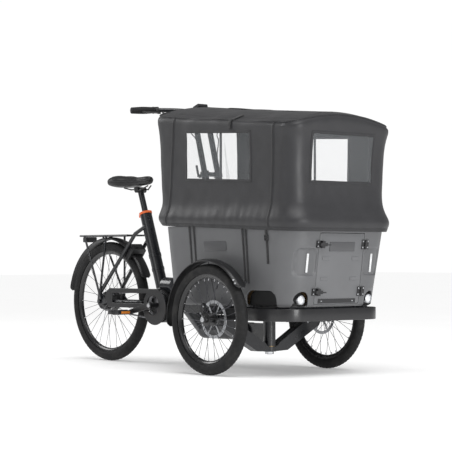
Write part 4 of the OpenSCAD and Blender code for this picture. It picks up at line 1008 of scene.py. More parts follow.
class BICYCLE_OT_box(bpy.types.Operator):
    """Moulded box, its door, lamps, plates and fittings"""

    bl_idname = "bicycle.box"
    bl_label = "Box and door"

    def execute(self, context):
        thickened(put("box_moulding", box_surface(), "box", "front_carrier", ("box_shell",), sharp=30), 0.0065)
        turn = face_turn()
        normal, tall = turn[:, 2], (DOOR_HIGH - DOOR_LOW) / math.cos(FACE_LEAN)
        leaf = plate(rounded_outline(2 * DOOR_HALF, tall, 0.010), -0.007, 0.0, 0.0022, turn, on_face(0, DOOR_MID))
        # painted shade: a near-black strip sunk behind the gap round the door, put where the gap's shade falls
        rim = rounded_outline(2 * DOOR_HALF + 0.003, tall + 0.003, 0.011)
        seal = on_face(0, DOOR_MID, -0.0105) + np.column_stack([rim, 0 * rim[:, 0]]) @ turn.T
        put("door_seal", sweep(seal, rounded_outline(0.014, 0.003, 0.001, 3), normal, closed=True), "liner",
            "front_carrier")
        tabs = [plate(rounded_outline(0.046, 0.016, 0.005), -0.0015, 0.0022, 0.0014, turn, on_face(y, z))
                for y, z in ((-0.095, 0.545), (0.095, 0.545), (-0.095, 0.452), (0.095, 0.452))]
        put("front_door_leaf", join(leaf, *tabs), "door", "front_door", ("front_door",))
        badge = plate(rounded_outline(0.160, 0.042, 0.005), 0.0003, 0.0026, 0.0009, turn, on_face(0.002, 0.599))
        put("door_plate", badge, "badge", "front_door")
        sill = plate(rounded_outline(0.240, 0.020, 0.003), 0.0003, 0.0023, 0.0007, turn, on_face(0, DOOR_LOW + 0.014))
        put("door_sill_strip", sill, "sill", "front_door")
        heads = [screw_head(on_face(y, DOOR_LOW + 0.014, 0.0023), normal, 0.0036, 0.0018) for y in (-0.1, 0.1)]

        def hinge_screws(y, z, out, radius, step):
            return [screw_head(on_face(y, z + dz, out), normal, radius, 0.002) for dz in (-step, step)]

        for z in HINGE_Z:
            heads += hinge_screws(HINGE_Y - 0.016, z, 0.0033, 0.0038, 0.014)
        put("door_screws", join(*heads), "steel", "front_door")
        heads = []
        for z in HINGE_Z:
            heads += hinge_screws(HINGE_Y + 0.0155, z, 0.0033, 0.0038, 0.014)
            heads += hinge_screws(-HINGE_Y - 0.0075, z, 0.0063, 0.0036, 0.009)
        put("box_screws", join(*heads), "steel", "front_carrier")
        for node in ("door_frame_fittings", "door_fittings", "latch_upper", "latch_lower"):
            softened(node, "plastic")
        painted("recess_panels", "liner")
        lamp_parts, rings, strips = [], [], []
        face_x = on_face(0, LAMP[1])[0]
        for sign in (-1, 1):
            centre = (face_x - 0.0277, sign * LAMP[0], LAMP[1])
            lamp_parts.append(lathe([(0.001, 0.0215), (0.008, 0.0210), (0.014, 0.0192), (0.0185, 0.0160),
                                     (0.0190, 0.002), (0.001, 0.002)], centre, (1, 0, 0), 40))
            rings.append(lathe([(0.0187, 0.0005), (0.0219, 0.0005), (0.0220, 0.0190), (0.0212, 0.0210),
                                (0.0198, 0.0214), (0.0190, 0.0200)], centre, (1, 0, 0), 48, closed=True))
            strips.append(plate(rounded_outline(0.012, 0.088, 0.003), 0.0003, 0.0033, 0.0008, turn,
                                on_face(sign * 0.205, 0.5228, -0.0070)))
        put("head_lamp_lenses", join(*lamp_parts), "lens", "front_carrier", ("lamps",))
        put("head_lamp_rings", join(*rings), "steel", "front_carrier")
        put("white_reflectors", join(*strips), "white", "front_carrier")
        plates = [plate(rounded_outline(0.160, 0.046, 0.006), 0.0, 0.0022, 0.0008, side_turn(sign),
                        side_wall(FRONT_X - 0.028, 0.604, 0.0004, sign)) for sign in (-1, 1)]
        put("side_plates", join(*plates), "badge", "front_carrier")
        return {"FINISHED"}


class BICYCLE_OT_chassis(bpy.types.Operator):
    """Bumper band, axle beam, chassis rails and brakes"""

    bl_idname = "bicycle.chassis"
    bl_label = "Bumper and chassis"

    def execute(self, context):
        low, high = span("bumper")
        back, ahead, half = low[0] + 0.004, high[0] - 0.004, high[1] - 0.004
        corner = 0.101
        quarter = np.linspace(0, math.pi / 2, 24)
        right = np.column_stack([ahead - corner + corner * np.sin(quarter), -half + corner - corner * np.cos(quarter)])
        side = np.column_stack([back + (right[0, 0] - back) * np.linspace(0, 1, 24), np.full(24, -half)])[:-1]
        path = np.vstack([side, right])
        front = np.column_stack([np.full(29, ahead), np.linspace(path[-1, 1], -path[-1, 1], 31)[1:-1]])
        path = np.vstack([path, front, path[::-1] * [1, -1]])
        tall = high[2] - low[2]
        path = np.column_stack([path, np.full(len(path), low[2] + tall / 2)])
        profile = rounded_outline(0.0078, tall, 0.0030, 5)
        profile[:, 0] += np.where(profile[:, 0] > 0, -0.0006, 0) * (np.abs(profile[:, 1]) < tall * 0.2)
        band = sweep(path, profile)
        brackets = [slab((0.030, half - 0.253, tall - 0.010), 0.003,
                         (x, (half + 0.249) / 2, low[2] + tall / 2)) for x in (FRONT_X + 0.075, FRONT_X + 0.235)]
        put("bumper_band", join(band, *[both(b) for b in brackets]), "bumper", "front_carrier",
            ("bumper",), sharp=40)
        for node in ("axle_beam", "chassis_frame"):
            softened(node, "paint", width=0.0022)
        softened("axle_pins", "steel")
        softened("calipers", "caliper")
        bolts = []
        for sign in (-1, 1):
            for turn in np.radians((138.0, 162.0)):
                at = [FRONT_X + 0.088 * math.cos(turn), sign * (SIDE_Y - 0.0205), FRONT_R + 0.088 * math.sin(turn)]
                bolts.append(screw_head(at, (0, sign, 0), 0.0048, 0.003))
        bolts += [screw_head([FRONT_X + 0.0255, sign * 0.232, 0.235], (1, 0, 0), 0.006, 0.003) for sign in (-1, 1)]
        put("chassis_bolts", join(*bolts), "steel", "front_carrier")
        return {"FINISHED"}

# ---------------------------------------------------------------- hood

# Height above the rim, then offsets of back, front and half width, corner, rear dip, fall to the front and arch, in mm
HOOD_RINGS = np.array([
    (8, 16, -3, 7.4, 100, 154, 40, 0), (46, -14, -18, 18, 110, 184, 30, 0), (118, 4, 14, -2, 92, 144, 20, 0),
    (250, 4, 20, -4, 80, 122, 20, 0), (430, 0, 8, -2, 74, 80, 60, 14), (515, -8, -6, 2, 66, 56, 84, 44),
    (541, 4, 6, -8, 58, 40, 88, 52)]) / 1000
ROOF_RISE, ROOF_FALL, ROOF_ARCH = HOOD_RINGS[-1, [0, 6, 7]]
HOOD_RUNS = (16, 28, 40, 32, 18)
HOOD_STOPS = (0.200, FRONT_X + 0.222, FRONT_X - 0.241, 0.230)
HOOP_X = (FRONT_X - 0.305, FRONT_X, FRONT_X + 0.370)
HEM_FALL = 0.040
SEAM_X = ((0.164, 0.212), (0.896, 0.922))
STITCH_PITCH, STITCH_LONG, STITCH_WIDE = 0.0065, 0.0038, 0.0009
WINDOW_X = np.array([HOOD_BACK, HOOD_STOPS[2], HOOD_STOPS[1], HOOD_FRONT])
WINDOW_LOW, WINDOW_HIGH = np.array([0.912, 0.9225, 0.9007, 0.892]), np.array([1.196, 1.154, 1.130, 1.118])
HOOD_ROWS = (28, 24, 15, 17)


def hood_surface():
    """The cloth's outer face as an (rows, columns, 3) array, and its normals. Each column goes up from the hem through
    the windows' lower and upper edges to the roof's edge, and then in over the roof. The ring at each height follows a
    cubic through the table's rings, and the height above the rim solves
    rise = z + fall * share - arch * (1 - (y / half)^2). Waves, puckers at the hem and a sag between the hoops are
    added along the normals."""
    table = spline(HOOD_RINGS, 12)

    def ring(rise):
        return [np.interp(rise, table[:, 0], table[:, k]) for k in range(1, 8)]

    def dipped(dip):
        def line(share):
            y = HOOD_STOPS[3] * (1 - share)
            return dip[:, -len(share):] * np.cos(np.minimum(y / 0.150, 1.0) ** 2 * math.pi / 2) ** 2, y
        return line

    one = np.ones((1, 1))
    x0, y0 = half_loop(one * (HOOD_BACK + 0.004), one * (HOOD_FRONT - 0.006), one * (HOOD_HALF - 0.004), one * 0.066,
                       HOOD_STOPS, HOOD_RUNS, dipped(np.full((1, HOOD_RUNS[4] + 1), 0.05)))
    share = np.clip((x0 - HOOD_BACK) / (HOOD_FRONT - HOOD_BACK), 0, 1)
    dome = 1 - (y0 / HOOD_HALF) ** 2
    hem = RIM_Z + 0.008 - HEM_FALL * share
    sill, head = np.interp(x0, WINDOW_X, WINDOW_LOW), np.interp(x0, WINDOW_X, WINDOW_HIGH)
    edge = RIM_Z + ROOF_RISE - ROOF_FALL * share + ROOF_ARCH * dome
    bands = []
    for low, high, count in zip((hem, sill, head), (sill, head, edge), HOOD_ROWS):
        step = np.arange(count)[:, None] / count
        bands.append(low + (high - low) * (step if count != HOOD_ROWS[2] else 1 - (1 - step) ** 1.5))
    z = np.concatenate(bands + [edge])
    rise = z - RIM_Z
    for _ in range(12):
        fall, arch = ring(rise)[5:]
        rise = np.clip(z - RIM_Z + fall * share - arch * dome, HOOD_RINGS[0, 0], ROOF_RISE)
    back, front, half, corner, dip = ring(rise)[:5]
    x, y = half_loop(HOOD_BACK + back, HOOD_FRONT - front, HOOD_HALF + half, corner, HOOD_STOPS, HOOD_RUNS, dipped(dip))
    wall = np.stack([x, y, z], axis=-1)
    s = 1 - (np.arange(1, HOOD_ROWS[3] + 1)[:, None] / HOOD_ROWS[3]) ** 0.85 * 0.985
    full, run = HOOD_HALF - 0.008, (1 - s) * 0.060
    lift = 0.012 * (1 - s * s)
    wide = np.broadcast_to(s * full, (len(s), wall.shape[1]))
    x, y = half_loop(HOOD_BACK + 0.004 + run, HOOD_FRONT - 0.006 - run, wide, np.minimum(0.058, s * full) * 0.9,
                     HOOD_STOPS, HOOD_RUNS, dipped(0.040 * s * np.ones_like(wide)))
    y = np.minimum(np.abs(y), wide * 0.9999)
    slope = ROOF_FALL / (HOOD_FRONT - HOOD_BACK)
    top = RIM_Z + ROOF_RISE - slope * (x - HOOD_BACK - 0.004) + ROOF_ARCH * (1 - (y / full) ** 2) + lift
    points = whole_loop(np.concatenate([wall, np.stack([x, y, top], axis=-1)]))
    slack = sizes().cloth_slack
    normals = surface_normals(points)
    along = points[..., 0]
    soft = slack * (0.6 * waves(points * [1, 1, 0.6], 0.30, 3) + 0.4 * waves(points, 0.11, 5))
    low = np.exp(-np.maximum(points[..., 2] - RIM_Z + 0.02, 0) / 0.05)
    pucker = 0.0022 * low * np.sin(along * 2 * math.pi / 0.055 + 2.5 * np.sin(along * 9)) * ramp(
        points[..., 2], RIM_Z - 0.03, RIM_Z + 0.03)
    sag = 0.0
    for hoop, next_hoop in zip(HOOP_X, HOOP_X[1:]):
        t = np.clip((along - hoop) / (next_hoop - hoop), 0, 1)
        sag = sag + 0.006 * np.sin(math.pi * t) ** 2
    flat_top = ramp(normals[..., 2], 0.5, 0.95)
    shift = (soft + pucker) * ramp(points[..., 2], RIM_Z - 0.015, RIM_Z + 0.05) * (1 - 0.3 * flat_top) - sag * flat_top
    points = points + normals * np.minimum(shift, 0.0035)[..., None]
    return points, surface_normals(points)


def picked(points, mask):
    """The cells of a wrapped grid where mask is true, as a shape."""
    base, loops, _ = grid(points)
    faces = loops.reshape(-1, 4)[mask.reshape(-1)]
    used, index = np.unique(faces, return_inverse=True)
    return base[used], index.reshape(-1), np.full(len(faces), 4)


def stitched(path, normals):
    """A closed row of stitches: small blocks laid along a path at equal steps, half sunk in the cloth."""
    path, normals = np.vstack([path, path[:1]]), np.vstack([normals, normals[:1]])
    length = lengths(path)
    at = np.arange(STITCH_PITCH / 2, length[-1], STITCH_PITCH)
    where = followed(at, length, path)
    ahead = followed(at + 1e-3, length, path) - where
    tangent = ahead / np.maximum(np.linalg.norm(ahead, axis=1, keepdims=True), 1e-9)
    out = followed(at, length, normals)
    side = np.cross(out, tangent)
    side /= np.maximum(np.linalg.norm(side, axis=1, keepdims=True), 1e-9)
    turns = np.stack([tangent, side, np.cross(tangent, side)], axis=-1)
    outline = np.array([(-0.5, 0), (-0.3, -0.5), (0.3, -0.5), (0.5, 0), (0.3, 0.5), (-0.3, 0.5)])
    outline *= [STITCH_LONG, STITCH_WIDE]
    block = capped(np.stack([np.column_stack([outline, np.full(6, z)]) for z in (-0.0004, 0.0004, 0.0007)]))
    return copies(block, turns, where)


def window_edge(rows, columns, total):
    """Row and column numbers round a window's border, in order, for columns that may pass the wrap."""
    r0, r1 = rows
    span_c = np.arange(columns[0], columns[1] + 1) % total
    up = np.arange(r0 + 1, r1)
    return (np.concatenate([np.full(len(span_c), r0), up, np.full(len(span_c), r1), up[::-1]]),
            np.concatenate([span_c, np.full(len(up), span_c[-1]), span_c[::-1], np.full(len(up), span_c[0])]))


# Each strap's place from the axle, width, lower end's height, and 1 where it has a buckle
STRAPS = [(-0.2055, 0.011, 0.430, 0), (-0.1745, 0.011, 0.430, 0), (0.1735, 0.011, 0.430, 0),
          (0.1955, 0.011, 0.430, 0), (0.336, 0.014, 0.520, 1)]


class BICYCLE_OT_hood(bpy.types.Operator):
    """Hood of coated cloth with film windows, bindings, zips, piping and stitching"""

    bl_idname = "bicycle.hood"
    bl_label = "Hood"

    def execute(self, context):
        points, normals = hood_surface()
        rows, total = points.shape[:2]
        runs = np.cumsum((0,) + HOOD_RUNS)
        half = runs[-1]
        row = (HOOD_ROWS[0], HOOD_ROWS[0] + HOOD_ROWS[1])
        roof = sum(HOOD_ROWS[:3])
        panes = {"front": (-runs[1], runs[1]), "left": (runs[2], runs[3]), "rear": (runs[4], 2 * half - runs[4]),
                 "right": (2 * half - runs[3], 2 * half - runs[2])}
        mask = np.zeros((rows - 1, total), bool)
        for first, last in panes.values():
            mask[row[0]:row[1], np.arange(first, last) % total] = True
        lid = points[-1].mean(axis=0)
        close = grid(np.stack([points[-1], np.broadcast_to(lid, points[-1].shape)]))
        cloth = put("hood_cloth", join(picked(points, ~mask), close), "hood", "front_carrier", ("hood",), sharp=60,
                    outward=False)
        weld = cloth.modifiers.new("closed top", "WELD")
        weld.merge_threshold = 0.0002
        thickened(cloth, 0.0020)
        sunk = points - normals * 0.0008
        bulge = np.zeros((rows, total))
        up = np.sin(np.linspace(0, math.pi, row[1] - row[0] + 1))[:, None]
        for first, last in panes.values():
            span_c = np.arange(first, last + 1)
            bulge[row[0]:row[1] + 1, span_c % total] = up * np.sin(np.linspace(0, math.pi, len(span_c)))
        film_points = sunk + normals * (0.0016 * waves(points, 0.12, 11) * np.minimum(bulge * 3, 1))[..., None]
        film_pane = put("hood_windows", picked(film_points, mask), "film", "front_carrier", ("windows",), sharp=60,
                        outward=False)
        tapes, threads = [], []
        flat = rounded_outline(0.0150, 0.0020, 0.0009, 3)
        for first, last in panes.values():
            r, c = window_edge(row, (first, last), total)
            path, out = points[r, c], normals[r, c]
            tapes.append(sweep(path + out * 0.0003, flat, out, closed=True))
            threads.append(stitched(path + out * 0.0013, out))
        hem_path = points[1] + normals[1] * 0.0003
        tapes.append(sweep(hem_path, rounded_outline(0.0180, 0.0022, 0.0010, 3), normals[1], closed=True))
        threads.append(stitched(hem_path + normals[1] * 0.0011, normals[1]))
        seams = []
        for path, out in self.seams(points, normals, runs, total, roof):
            tapes.append(sweep(path + out * 0.0003, rounded_outline(0.0200, 0.0014, 0.0006, 3), out))
            seams.append(sweep(path + out * 0.0014, rounded_outline(0.0052, 0.0022, 0.0009, 3), out))
        piping = tube(points[roof] + normals[roof] * 0.0012, 0.0034, 8, closed=True, up=(0.01, 0.02, 1))
        binding = put("hood_bindings", join(*tapes, piping), "binding", "front_carrier")
        zips = put("hood_zips", join(*seams), "plastic", "front_carrier")
        for ring in (roof - 2, roof + 2):
            threads.append(stitched(points[ring] + normals[ring] * 0.0002, normals[ring]))
        thread = put("hood_stitching", join(*threads), "thread", "front_carrier", outward=False)
        side = 2 * half - (runs[2] + int(HOOD_RUNS[2] * 0.30))
        line, out = (grid_of[roof - 13:roof + 4, side] for grid_of in (points, normals))
        strip = rounded_outline(0.024, 0.0022, 0.001, 3)
        tie = put("hood_tie", sweep(line + out * 0.0042, strip, out), "webbing", "front_carrier")
        corner = total - runs[1] - 12
        tag_at, tag_turn = points[roof - 7, corner], basis(normals[roof - 7, corner])
        tag = put("hood_tag", plate(rounded_outline(0.022, 0.013, 0.001), 0.0002, 0.0010, 0.0003, tag_turn, tag_at),
                  "badge", "front_carrier")
        return {"FINISHED"}

    @staticmethod
    def seams(points, normals, runs, total, roof):
        """Lines up each side, from the hem to below the roof's edge, that cross every row where x reaches a set value:
        a zip behind the side window and one ahead of it."""
        lines = []
        rise = np.linspace(0, 1, roof - 3)
        for low, high in SEAM_X:
            for columns in (np.arange(runs[1], runs[4]), total - np.arange(runs[1], runs[4])):
                path, out = [], []
                for row, share in enumerate(rise, 1):
                    x = points[row, columns, 0][::-1]
                    want = low + (high - low) * share
                    path.append([np.interp(want, x, points[row, columns, k][::-1]) for k in range(3)])
                    out.append([np.interp(want, x, normals[row, columns, k][::-1]) for k in range(3)])
                lines.append((np.array(path), np.array(out)))
        return lines


class BICYCLE_OT_hoops(bpy.types.Operator):
    """Tube hoops that carry the hood, and the straps that hold it down"""

    bl_idname = "bicycle.hoops"
    bl_label = "Hoops and straps"

    def execute(self, context):
        hoops = []
        out = RIM_HALF - 0.019
        slope = ROOF_FALL / (HOOD_FRONT - HOOD_BACK)
        for x in HOOP_X:
            top = RIM_Z + ROOF_RISE - 0.003 - slope * (x - HOOD_BACK) - 0.026
            line = [(x, -out, RIM_Z - 0.070), (x, -out, top), (x, -out * 0.6, top + 0.022), (x, 0, top + 0.034),
                    (x, out * 0.6, top + 0.022), (x, out, top), (x, out, RIM_Z - 0.070)]
            hoops.append(tube(filleted(line, 0.035, 10), 0.006, 14, up=(1, 0, 0)))
            for sign in (-1, 1):
                hoops.append(slab((0.024, 0.006, 0.008), 0.0015, (x, sign * (out - 0.0005), RIM_Z - 0.074)))
        put("hood_hoops", join(*hoops), "column", "front_carrier", ("hood_bows",))
        bands, buckles = [], []
        for sign in (-1, 1):
            flat = side_turn(sign)
            for offset, width, low, buckled in STRAPS:
                x = FRONT_X + offset
                hem = RIM_Z + 0.012 - HEM_FALL * (x - HOOD_BACK) / (HOOD_FRONT - HOOD_BACK)
                line = np.array([side_wall(x, z, off, sign) for z, off in zip(
                    np.linspace(low, hem + 0.004, 14), 0.0014 + 0.005 * np.linspace(0, 1, 14) ** 3)])
                bands.append(sweep(line, rounded_outline(width, 0.0015, 0.0006, 3), flat[:, 2]))
                bands.append(slab((width, 0.016, 0.0034), 0.001, side_wall(x, low + 0.008, 0.0020, sign), flat))
                if buckled:
                    for lift, high, deep in ((0.012, 0.005, 0.005), (0.0, 0.004, 0.0042), (-0.012, 0.005, 0.005)):
                        buckles.append(slab((width + 0.009, high, deep), 0.0015,
                                            side_wall(x, hem - 0.040 + lift, 0.0046, sign), flat))
                    for edge in (-1, 1):
                        at = side_wall(x, hem - 0.040, 0.0044, sign) + flat @ [edge * (width / 2 + 0.003), 0, 0]
                        buckles.append(slab((0.004, 0.028, 0.0046), 0.0015, at, flat))
        put("hood_straps", join(*bands), "webbing", "front_carrier", ("straps",))
        put("strap_buckles", join(*buckles), "plastic", "front_carrier")
        return {"FINISHED"}


# ---------------------------------------------------------------- bench


def puffed(name, part, finish, body, reach):
    """A cushion: the shape is remeshed, blown up by cloth under pressure with no gravity, and no point moves further
    than reach; then it is smoothed once."""
    points, loops, counts = part
    mesh = bpy.data.meshes.new(name)
    faces = np.split(np.asarray(loops), np.cumsum(counts)[:-1])
    mesh.from_pydata(np.asarray(points).tolist(), [], [f.tolist() for f in faces])
    obj = place(name, mesh, finish, body, (), 80, True)
    remesh = obj.modifiers.new("even faces", "REMESH")
    remesh.mode, remesh.voxel_size = "VOXEL", 0.0085
    cloth = obj.modifiers.new("air", "CLOTH")
    cloth.settings.use_pressure = True
    cloth.settings.uniform_pressure_force = 4.0
    cloth.settings.effector_weights.gravity = 0.0
    cloth.settings.quality = 4
    cloth.point_cache.frame_start, cloth.point_cache.frame_end = 1, 16
    scene = bpy.context.scene
    cloth.show_viewport = False
    start = evaluated_points(obj)
    cloth.show_viewport = True
    for step in range(1, 17):
        scene.frame_set(step)
    blown = evaluated_points(obj)
    graph = bpy.context.evaluated_depsgraph_get()
    made = bpy.data.meshes.new_from_object(obj.evaluated_get(graph))
    scene.frame_set(1)
    shift = blown - start if len(blown) == len(start) else np.zeros_like(blown)
    far = np.linalg.norm(shift, axis=1, keepdims=True)
    made.vertices.foreach_set("co", (blown - shift * (1 - np.minimum(1, reach / np.maximum(far, 1e-9))))
                              .astype(np.float32).ravel())
    obj.modifiers.clear()
    obj.data = made
    made.materials.clear()
    made.materials.append(FINISHES[finish])
    made.polygons.foreach_set("use_smooth", np.ones(len(made.polygons), bool))
    smooth = obj.modifiers.new("smooth", "SUBSURF")
    smooth.levels = smooth.render_levels = 1
    return obj


def evaluated_points(obj):
    """The vertices of an object after its modifiers."""
    graph = bpy.context.evaluated_depsgraph_get()
    seen = obj.evaluated_get(graph)
    mesh = seen.to_mesh()
    points = np.zeros(len(mesh.vertices) * 3)
    mesh.vertices.foreach_get("co", points)
    seen.to_mesh_clear()
    return points.reshape(-1, 3)


class BICYCLE_OT_bench(bpy.types.Operator):
    """Bench boards and cushions inside the box"""

    bl_idname = "bicycle.bench"
    bl_label = "Bench"

    def execute(self, context):
        top, back, depth = BOX_Z + 0.210, CHANNEL_X + 0.047, 0.300
        boards = [slab((depth, 0.500, 0.018), 0.003, (back + depth / 2, 0, top - 0.009))]
        for x in (back + depth - 0.011, back + 0.009):
            boards.append(slab((0.018, 0.460, top - 0.0183 - BOX_Z - 0.0073), 0.003,
                               (x, 0, (top - 0.0183 + BOX_Z + 0.0073) / 2)))
        put("bench_boards", join(*boards), "wood", "front_carrier", ("bench",))
        for name, size, x, z in (("seat_cushion", (0.242, 0.466, 0.030), 0.1725, 0.020),
                                 ("back_cushion", (0.030, 0.466, 0.286), 0.020, 0.150)):
            puffed(name, slab(size, 0.012, (back + x, 0, top + z), bands=6), "bench", "front_carrier", 0.005)
        return {"FINISHED"}


# ---------------------------------------------------------------- handlebar


class BICYCLE_OT_handlebar(bpy.types.Operator):
    """Column, mast tubes, bent bar, grips, levers, display and brake hoses"""

    bl_idname = "bicycle.handlebar"
    bl_label = "Handlebar"

    def execute(self, context):
        side = np.array([0, MAST_GAP / 2, 0])
        flip = np.array([1, -1, 1])
        bend = filleted([GRIP_OUT * flip, GRIP_IN * flip, BAR_BEND * flip, BAR_AT, BAR_BEND, GRIP_IN, GRIP_OUT],
                        np.array([0.010, 0.055, 0.040, 0.055, 0.010]), 10)
        parts = [tube(bend, 0.0111, 20, up=(0, 0, 1))]
        for sign in (-1, 1):
            foot, head = CLAMP - 0.110 * MAST_DIR + sign * side, MAST_TOP + sign * side
            up = np.linspace(0, math.pi / 2, 9)
            length = np.linalg.norm(head - foot)
            dome = np.column_stack([MAST_R * np.cos(up), length + MAST_R * np.sin(up)])
            parts.append(lathe([(0.001, 0.0), (MAST_R, 0.0), *dome], foot, MAST_DIR, 28))
            parts.append(rod(head, BAR_AT + sign * side, 0.0125, 24))
        sleeve = [(0.0112, -0.0610), (0.0160, -0.0610), (0.0170, -0.0600), (0.0170, -0.0440), (0.0163, -0.0432),
                  (0.0163, -0.0420), (0.0170, -0.0412)]
        parts.append(lathe(sleeve + [(a, -b) for a, b in sleeve[::-1]], BAR_AT, (0, 1, 0), 40, closed=True))
        put("bar_and_masts", join(*parts), "paint", "handlebar", ("handlebar",))
        bolts = [screw_head(BAR_AT + [x, sign * y, 0], (math.copysign(1, x), 0, 0), 0.0036, 0.003)
                 for sign in (-1, 1) for y in (0.034, 0.052) for x in (0.0165, -0.0165)]
        put("clamp_bolts", join(*bolts), "steel", "handlebar")
        put("grip_sleeves", both(self.grip()), "grip", "handlebar", ("grips",))
        softened("bar_controls", "plastic", width=0.0016)
        glass = plate(rounded_outline(0.034, 0.052, 0.004), 0.0071, 0.0080, 0.0004,
                      turn_about((0, 1, 0), math.radians(-20.0)), BAR_AT + [0.006, 0, 0.0282])
        put("display_glass", glass, "liner", "handlebar")
        for node in ("brake_lever_right", "brake_lever_left"):
            softened(node, "caliper", width=0.0022)
        softened("column", "column", width=0.0014)
        softened("column_lever", "caliper", width=0.0016)
        lever = GRIP_IN + 0.012 * GRIP_DIR + [0.020, 0, -0.014]
        beside = (MAST_GAP + 2 * MAST_R + HOSE_D) / 2 + 0.0003
        entry = CLAMP + 0.078 * MAST_DIR
        for sign, name in ((-1, "brake_hose_right"), (1, "brake_hose_left")):
            loop = 0.020 if sign > 0 else 0.008
            knots = [(lever[0] + 0.008, sign * (lever[1] - 0.012), lever[2]),
                     (BAR_AT[0] + 0.016, sign * 0.132, BAR_AT[2] - 0.026),
                     (BAR_AT[0] + 0.026, sign * (0.074 + loop), BAR_AT[2] - 0.104),
                     entry + [-0.014, sign * (beside + loop), 0.086], entry + [-0.003, sign * (beside + 0.002), 0.024],
                     entry + [0, sign * beside, 0]]
            path = spline(knots, 8)
            hose = put(name, tube(path, HOSE_D / 2, 12, up=(0.9, 0.1, 0.3)), "hose", "handlebar", ("cables",))
        return {"FINISHED"}

    @staticmethod
    def grip():
        """A round grip with a palm swell, fine ribs and a flange: radius over length."""
        t = np.linspace(0, 1, 90)
        radius = 0.0158 + 0.0022 * np.sin(t * math.pi) ** 2 + 0.00045 * np.sign(np.sin(t * 2 * math.pi * 22)) * (
            (t > 0.08) & (t < 0.94))
        radius = np.where(t < 0.06, 0.0178, radius)
        radius[0], radius[-1], radius[-2] = 0.0160, 0.0128, 0.0150
        start = GRIP_OUT - 0.118 * GRIP_DIR
        path = start + (0.121 * t)[:, None] * GRIP_DIR
        return tube(path, radius, 28, up=(0, 0, 1))


# ---------------------------------------------------------------- rear frame, seat and drive


class BICYCLE_OT_rear_frame(bpy.types.Operator):
    """Welded frame, rack, lock, lamp and motor"""

    bl_idname = "bicycle.rear_frame"
    bl_label = "Rear frame"

    def execute(self, context):
        softened("main_frame", "paint", width=0.0016)
        softened("rear_triangle", "paint", width=0.0012)
        painted("steering_bushes", "bronze")
        softened("motor", "plastic", width=0.0045)
        softened("chain_guard", "fender", width=0.0018)
        softened("ring_lock", "plastic", width=0.0040)
        softened("seat_collar", "accent")
        softened("collar_lever", "accent", width=0.0016)
        bands = []
        for z, high in ((0.560, 0.010), (0.490, 0.008)):
            at = SEAT_FOOT + SEAT_DIR * (z - SEAT_FOOT[2]) / SEAT_DIR[2]
            line = [(0.0305, -high), (0.0322, -high), (0.0330, -high + 0.001), (0.0330, high - 0.001), (0.0322, high),
                    (0.0305, high)]
            bands.append(lathe(line, at, SEAT_DIR, 64, closed=True))
        put("seat_tube_rings", join(*bands), "paint", "rear_frame")
        covers = []
        line = [(0.0300, -0.001), (0.0790, -0.001), (0.0790, 0.0008), (0.0765, 0.0022), (0.0500, 0.0026),
                (0.0480, 0.0040), (0.0320, 0.0042), (0.0300, 0.0034)]
        for sign in (-1, 1):
            at = CRANK + [0.012, sign * 0.0440, -0.002]
            covers.append(lathe(line, at, (0, sign, 0), 72, closed=True))
            bolt = screw_head(at + [0.070, sign * 0.0020, 0], (0, sign, 0), 0.0040, 0.0022)
            covers.append(spun(bolt, 6, at, start=0.3))
        put("motor_covers", join(*covers), "caliper", "rear_frame")
        self.rack()
        low, high = span("rear_light")
        body = slab(high - low - [0.004, 0, 0], 0.006, (low + high) / 2 + [0.002, 0, 0])
        lens = slab((0.008, high[1] * 2 - 0.010, high[2] - low[2] - 0.008), 0.003,
                    (low[0] + 0.0042, 0, (low[2] + high[2]) / 2))
        put("rear_lamp_body", body, "plastic", "rear_frame", ("rear_light",))
        put("rear_lamp_lens", lens, "red", "rear_frame")
        return {"FINISHED"}

    @staticmethod
    def rack():
        """Two long rails with cross bars, a flat strip and legs down to the axle plates."""
        rail, half, z = 0.005, 0.062, 0.667
        front, back = REAR_AXLE[0] + 0.226, REAR_AXLE[0] - 0.197
        foot = np.array([REAR_AXLE[0] + 0.012, 0.080, REAR_AXLE[2] + 0.024])
        loop = filleted([(back + 0.02, -half, z), (back, -half, z), (back, half, z), (back + 0.02, half, z)], 0.016)
        long = [tube(np.array([(back + 0.019, s * half, z), (front, s * half, z)]), rail, 14) for s in (-1, 1)]
        bars = [rod((x, -half, z), (x, half, z), rail * 0.9, 12)
                for x in (back + 0.070, REAR_AXLE[0], back + 0.330, front - 0.002)]
        legs = []
        for sign in (-1, 1):
            flip = np.array([1, sign, 1])
            for x in (back + 0.045, back + 0.238):
                line = filleted([(x, half, z), foot + [0, 0.003, 0.008], foot], 0.006)
                legs.append(tube(line * flip, rail * 1.15, 14, up=(0, 1, 0.01)))
            legs.append(slab((0.018, 0.005, 0.026), 0.002, foot * flip + [0, sign * 0.001, 0]))
        deck = slab((0.268, 0.048, 0.0065), 0.0022, (back + 0.200, 0, z + 0.0018))
        ribs = [slab((0.250, 0.0035, 0.0020), 0.0008, (back + 0.200, y, z + 0.0050))
                for y in (-0.016, -0.005, 0.005, 0.016)]
        guard_top = REAR_R * 2 + 0.0245
        stub = slab((0.014, 0.018, z - guard_top), 0.002, (REAR_AXLE[0], 0, (z + guard_top) / 2))
        put("rack_tubes", join(tube(loop, rail, 14, up=(0, 0, 1)), *long, *bars, *legs, deck, *ribs, stub),
            "paint", "rear_frame", ("rack",))
        bolts = [screw_head(foot * [1, s, 1] + [0, s * 0.004, 0.006], (0, s, 0), 0.0042, 0.003) for s in (-1, 1)]
        put("rack_bolts", join(*bolts), "steel", "rear_frame")


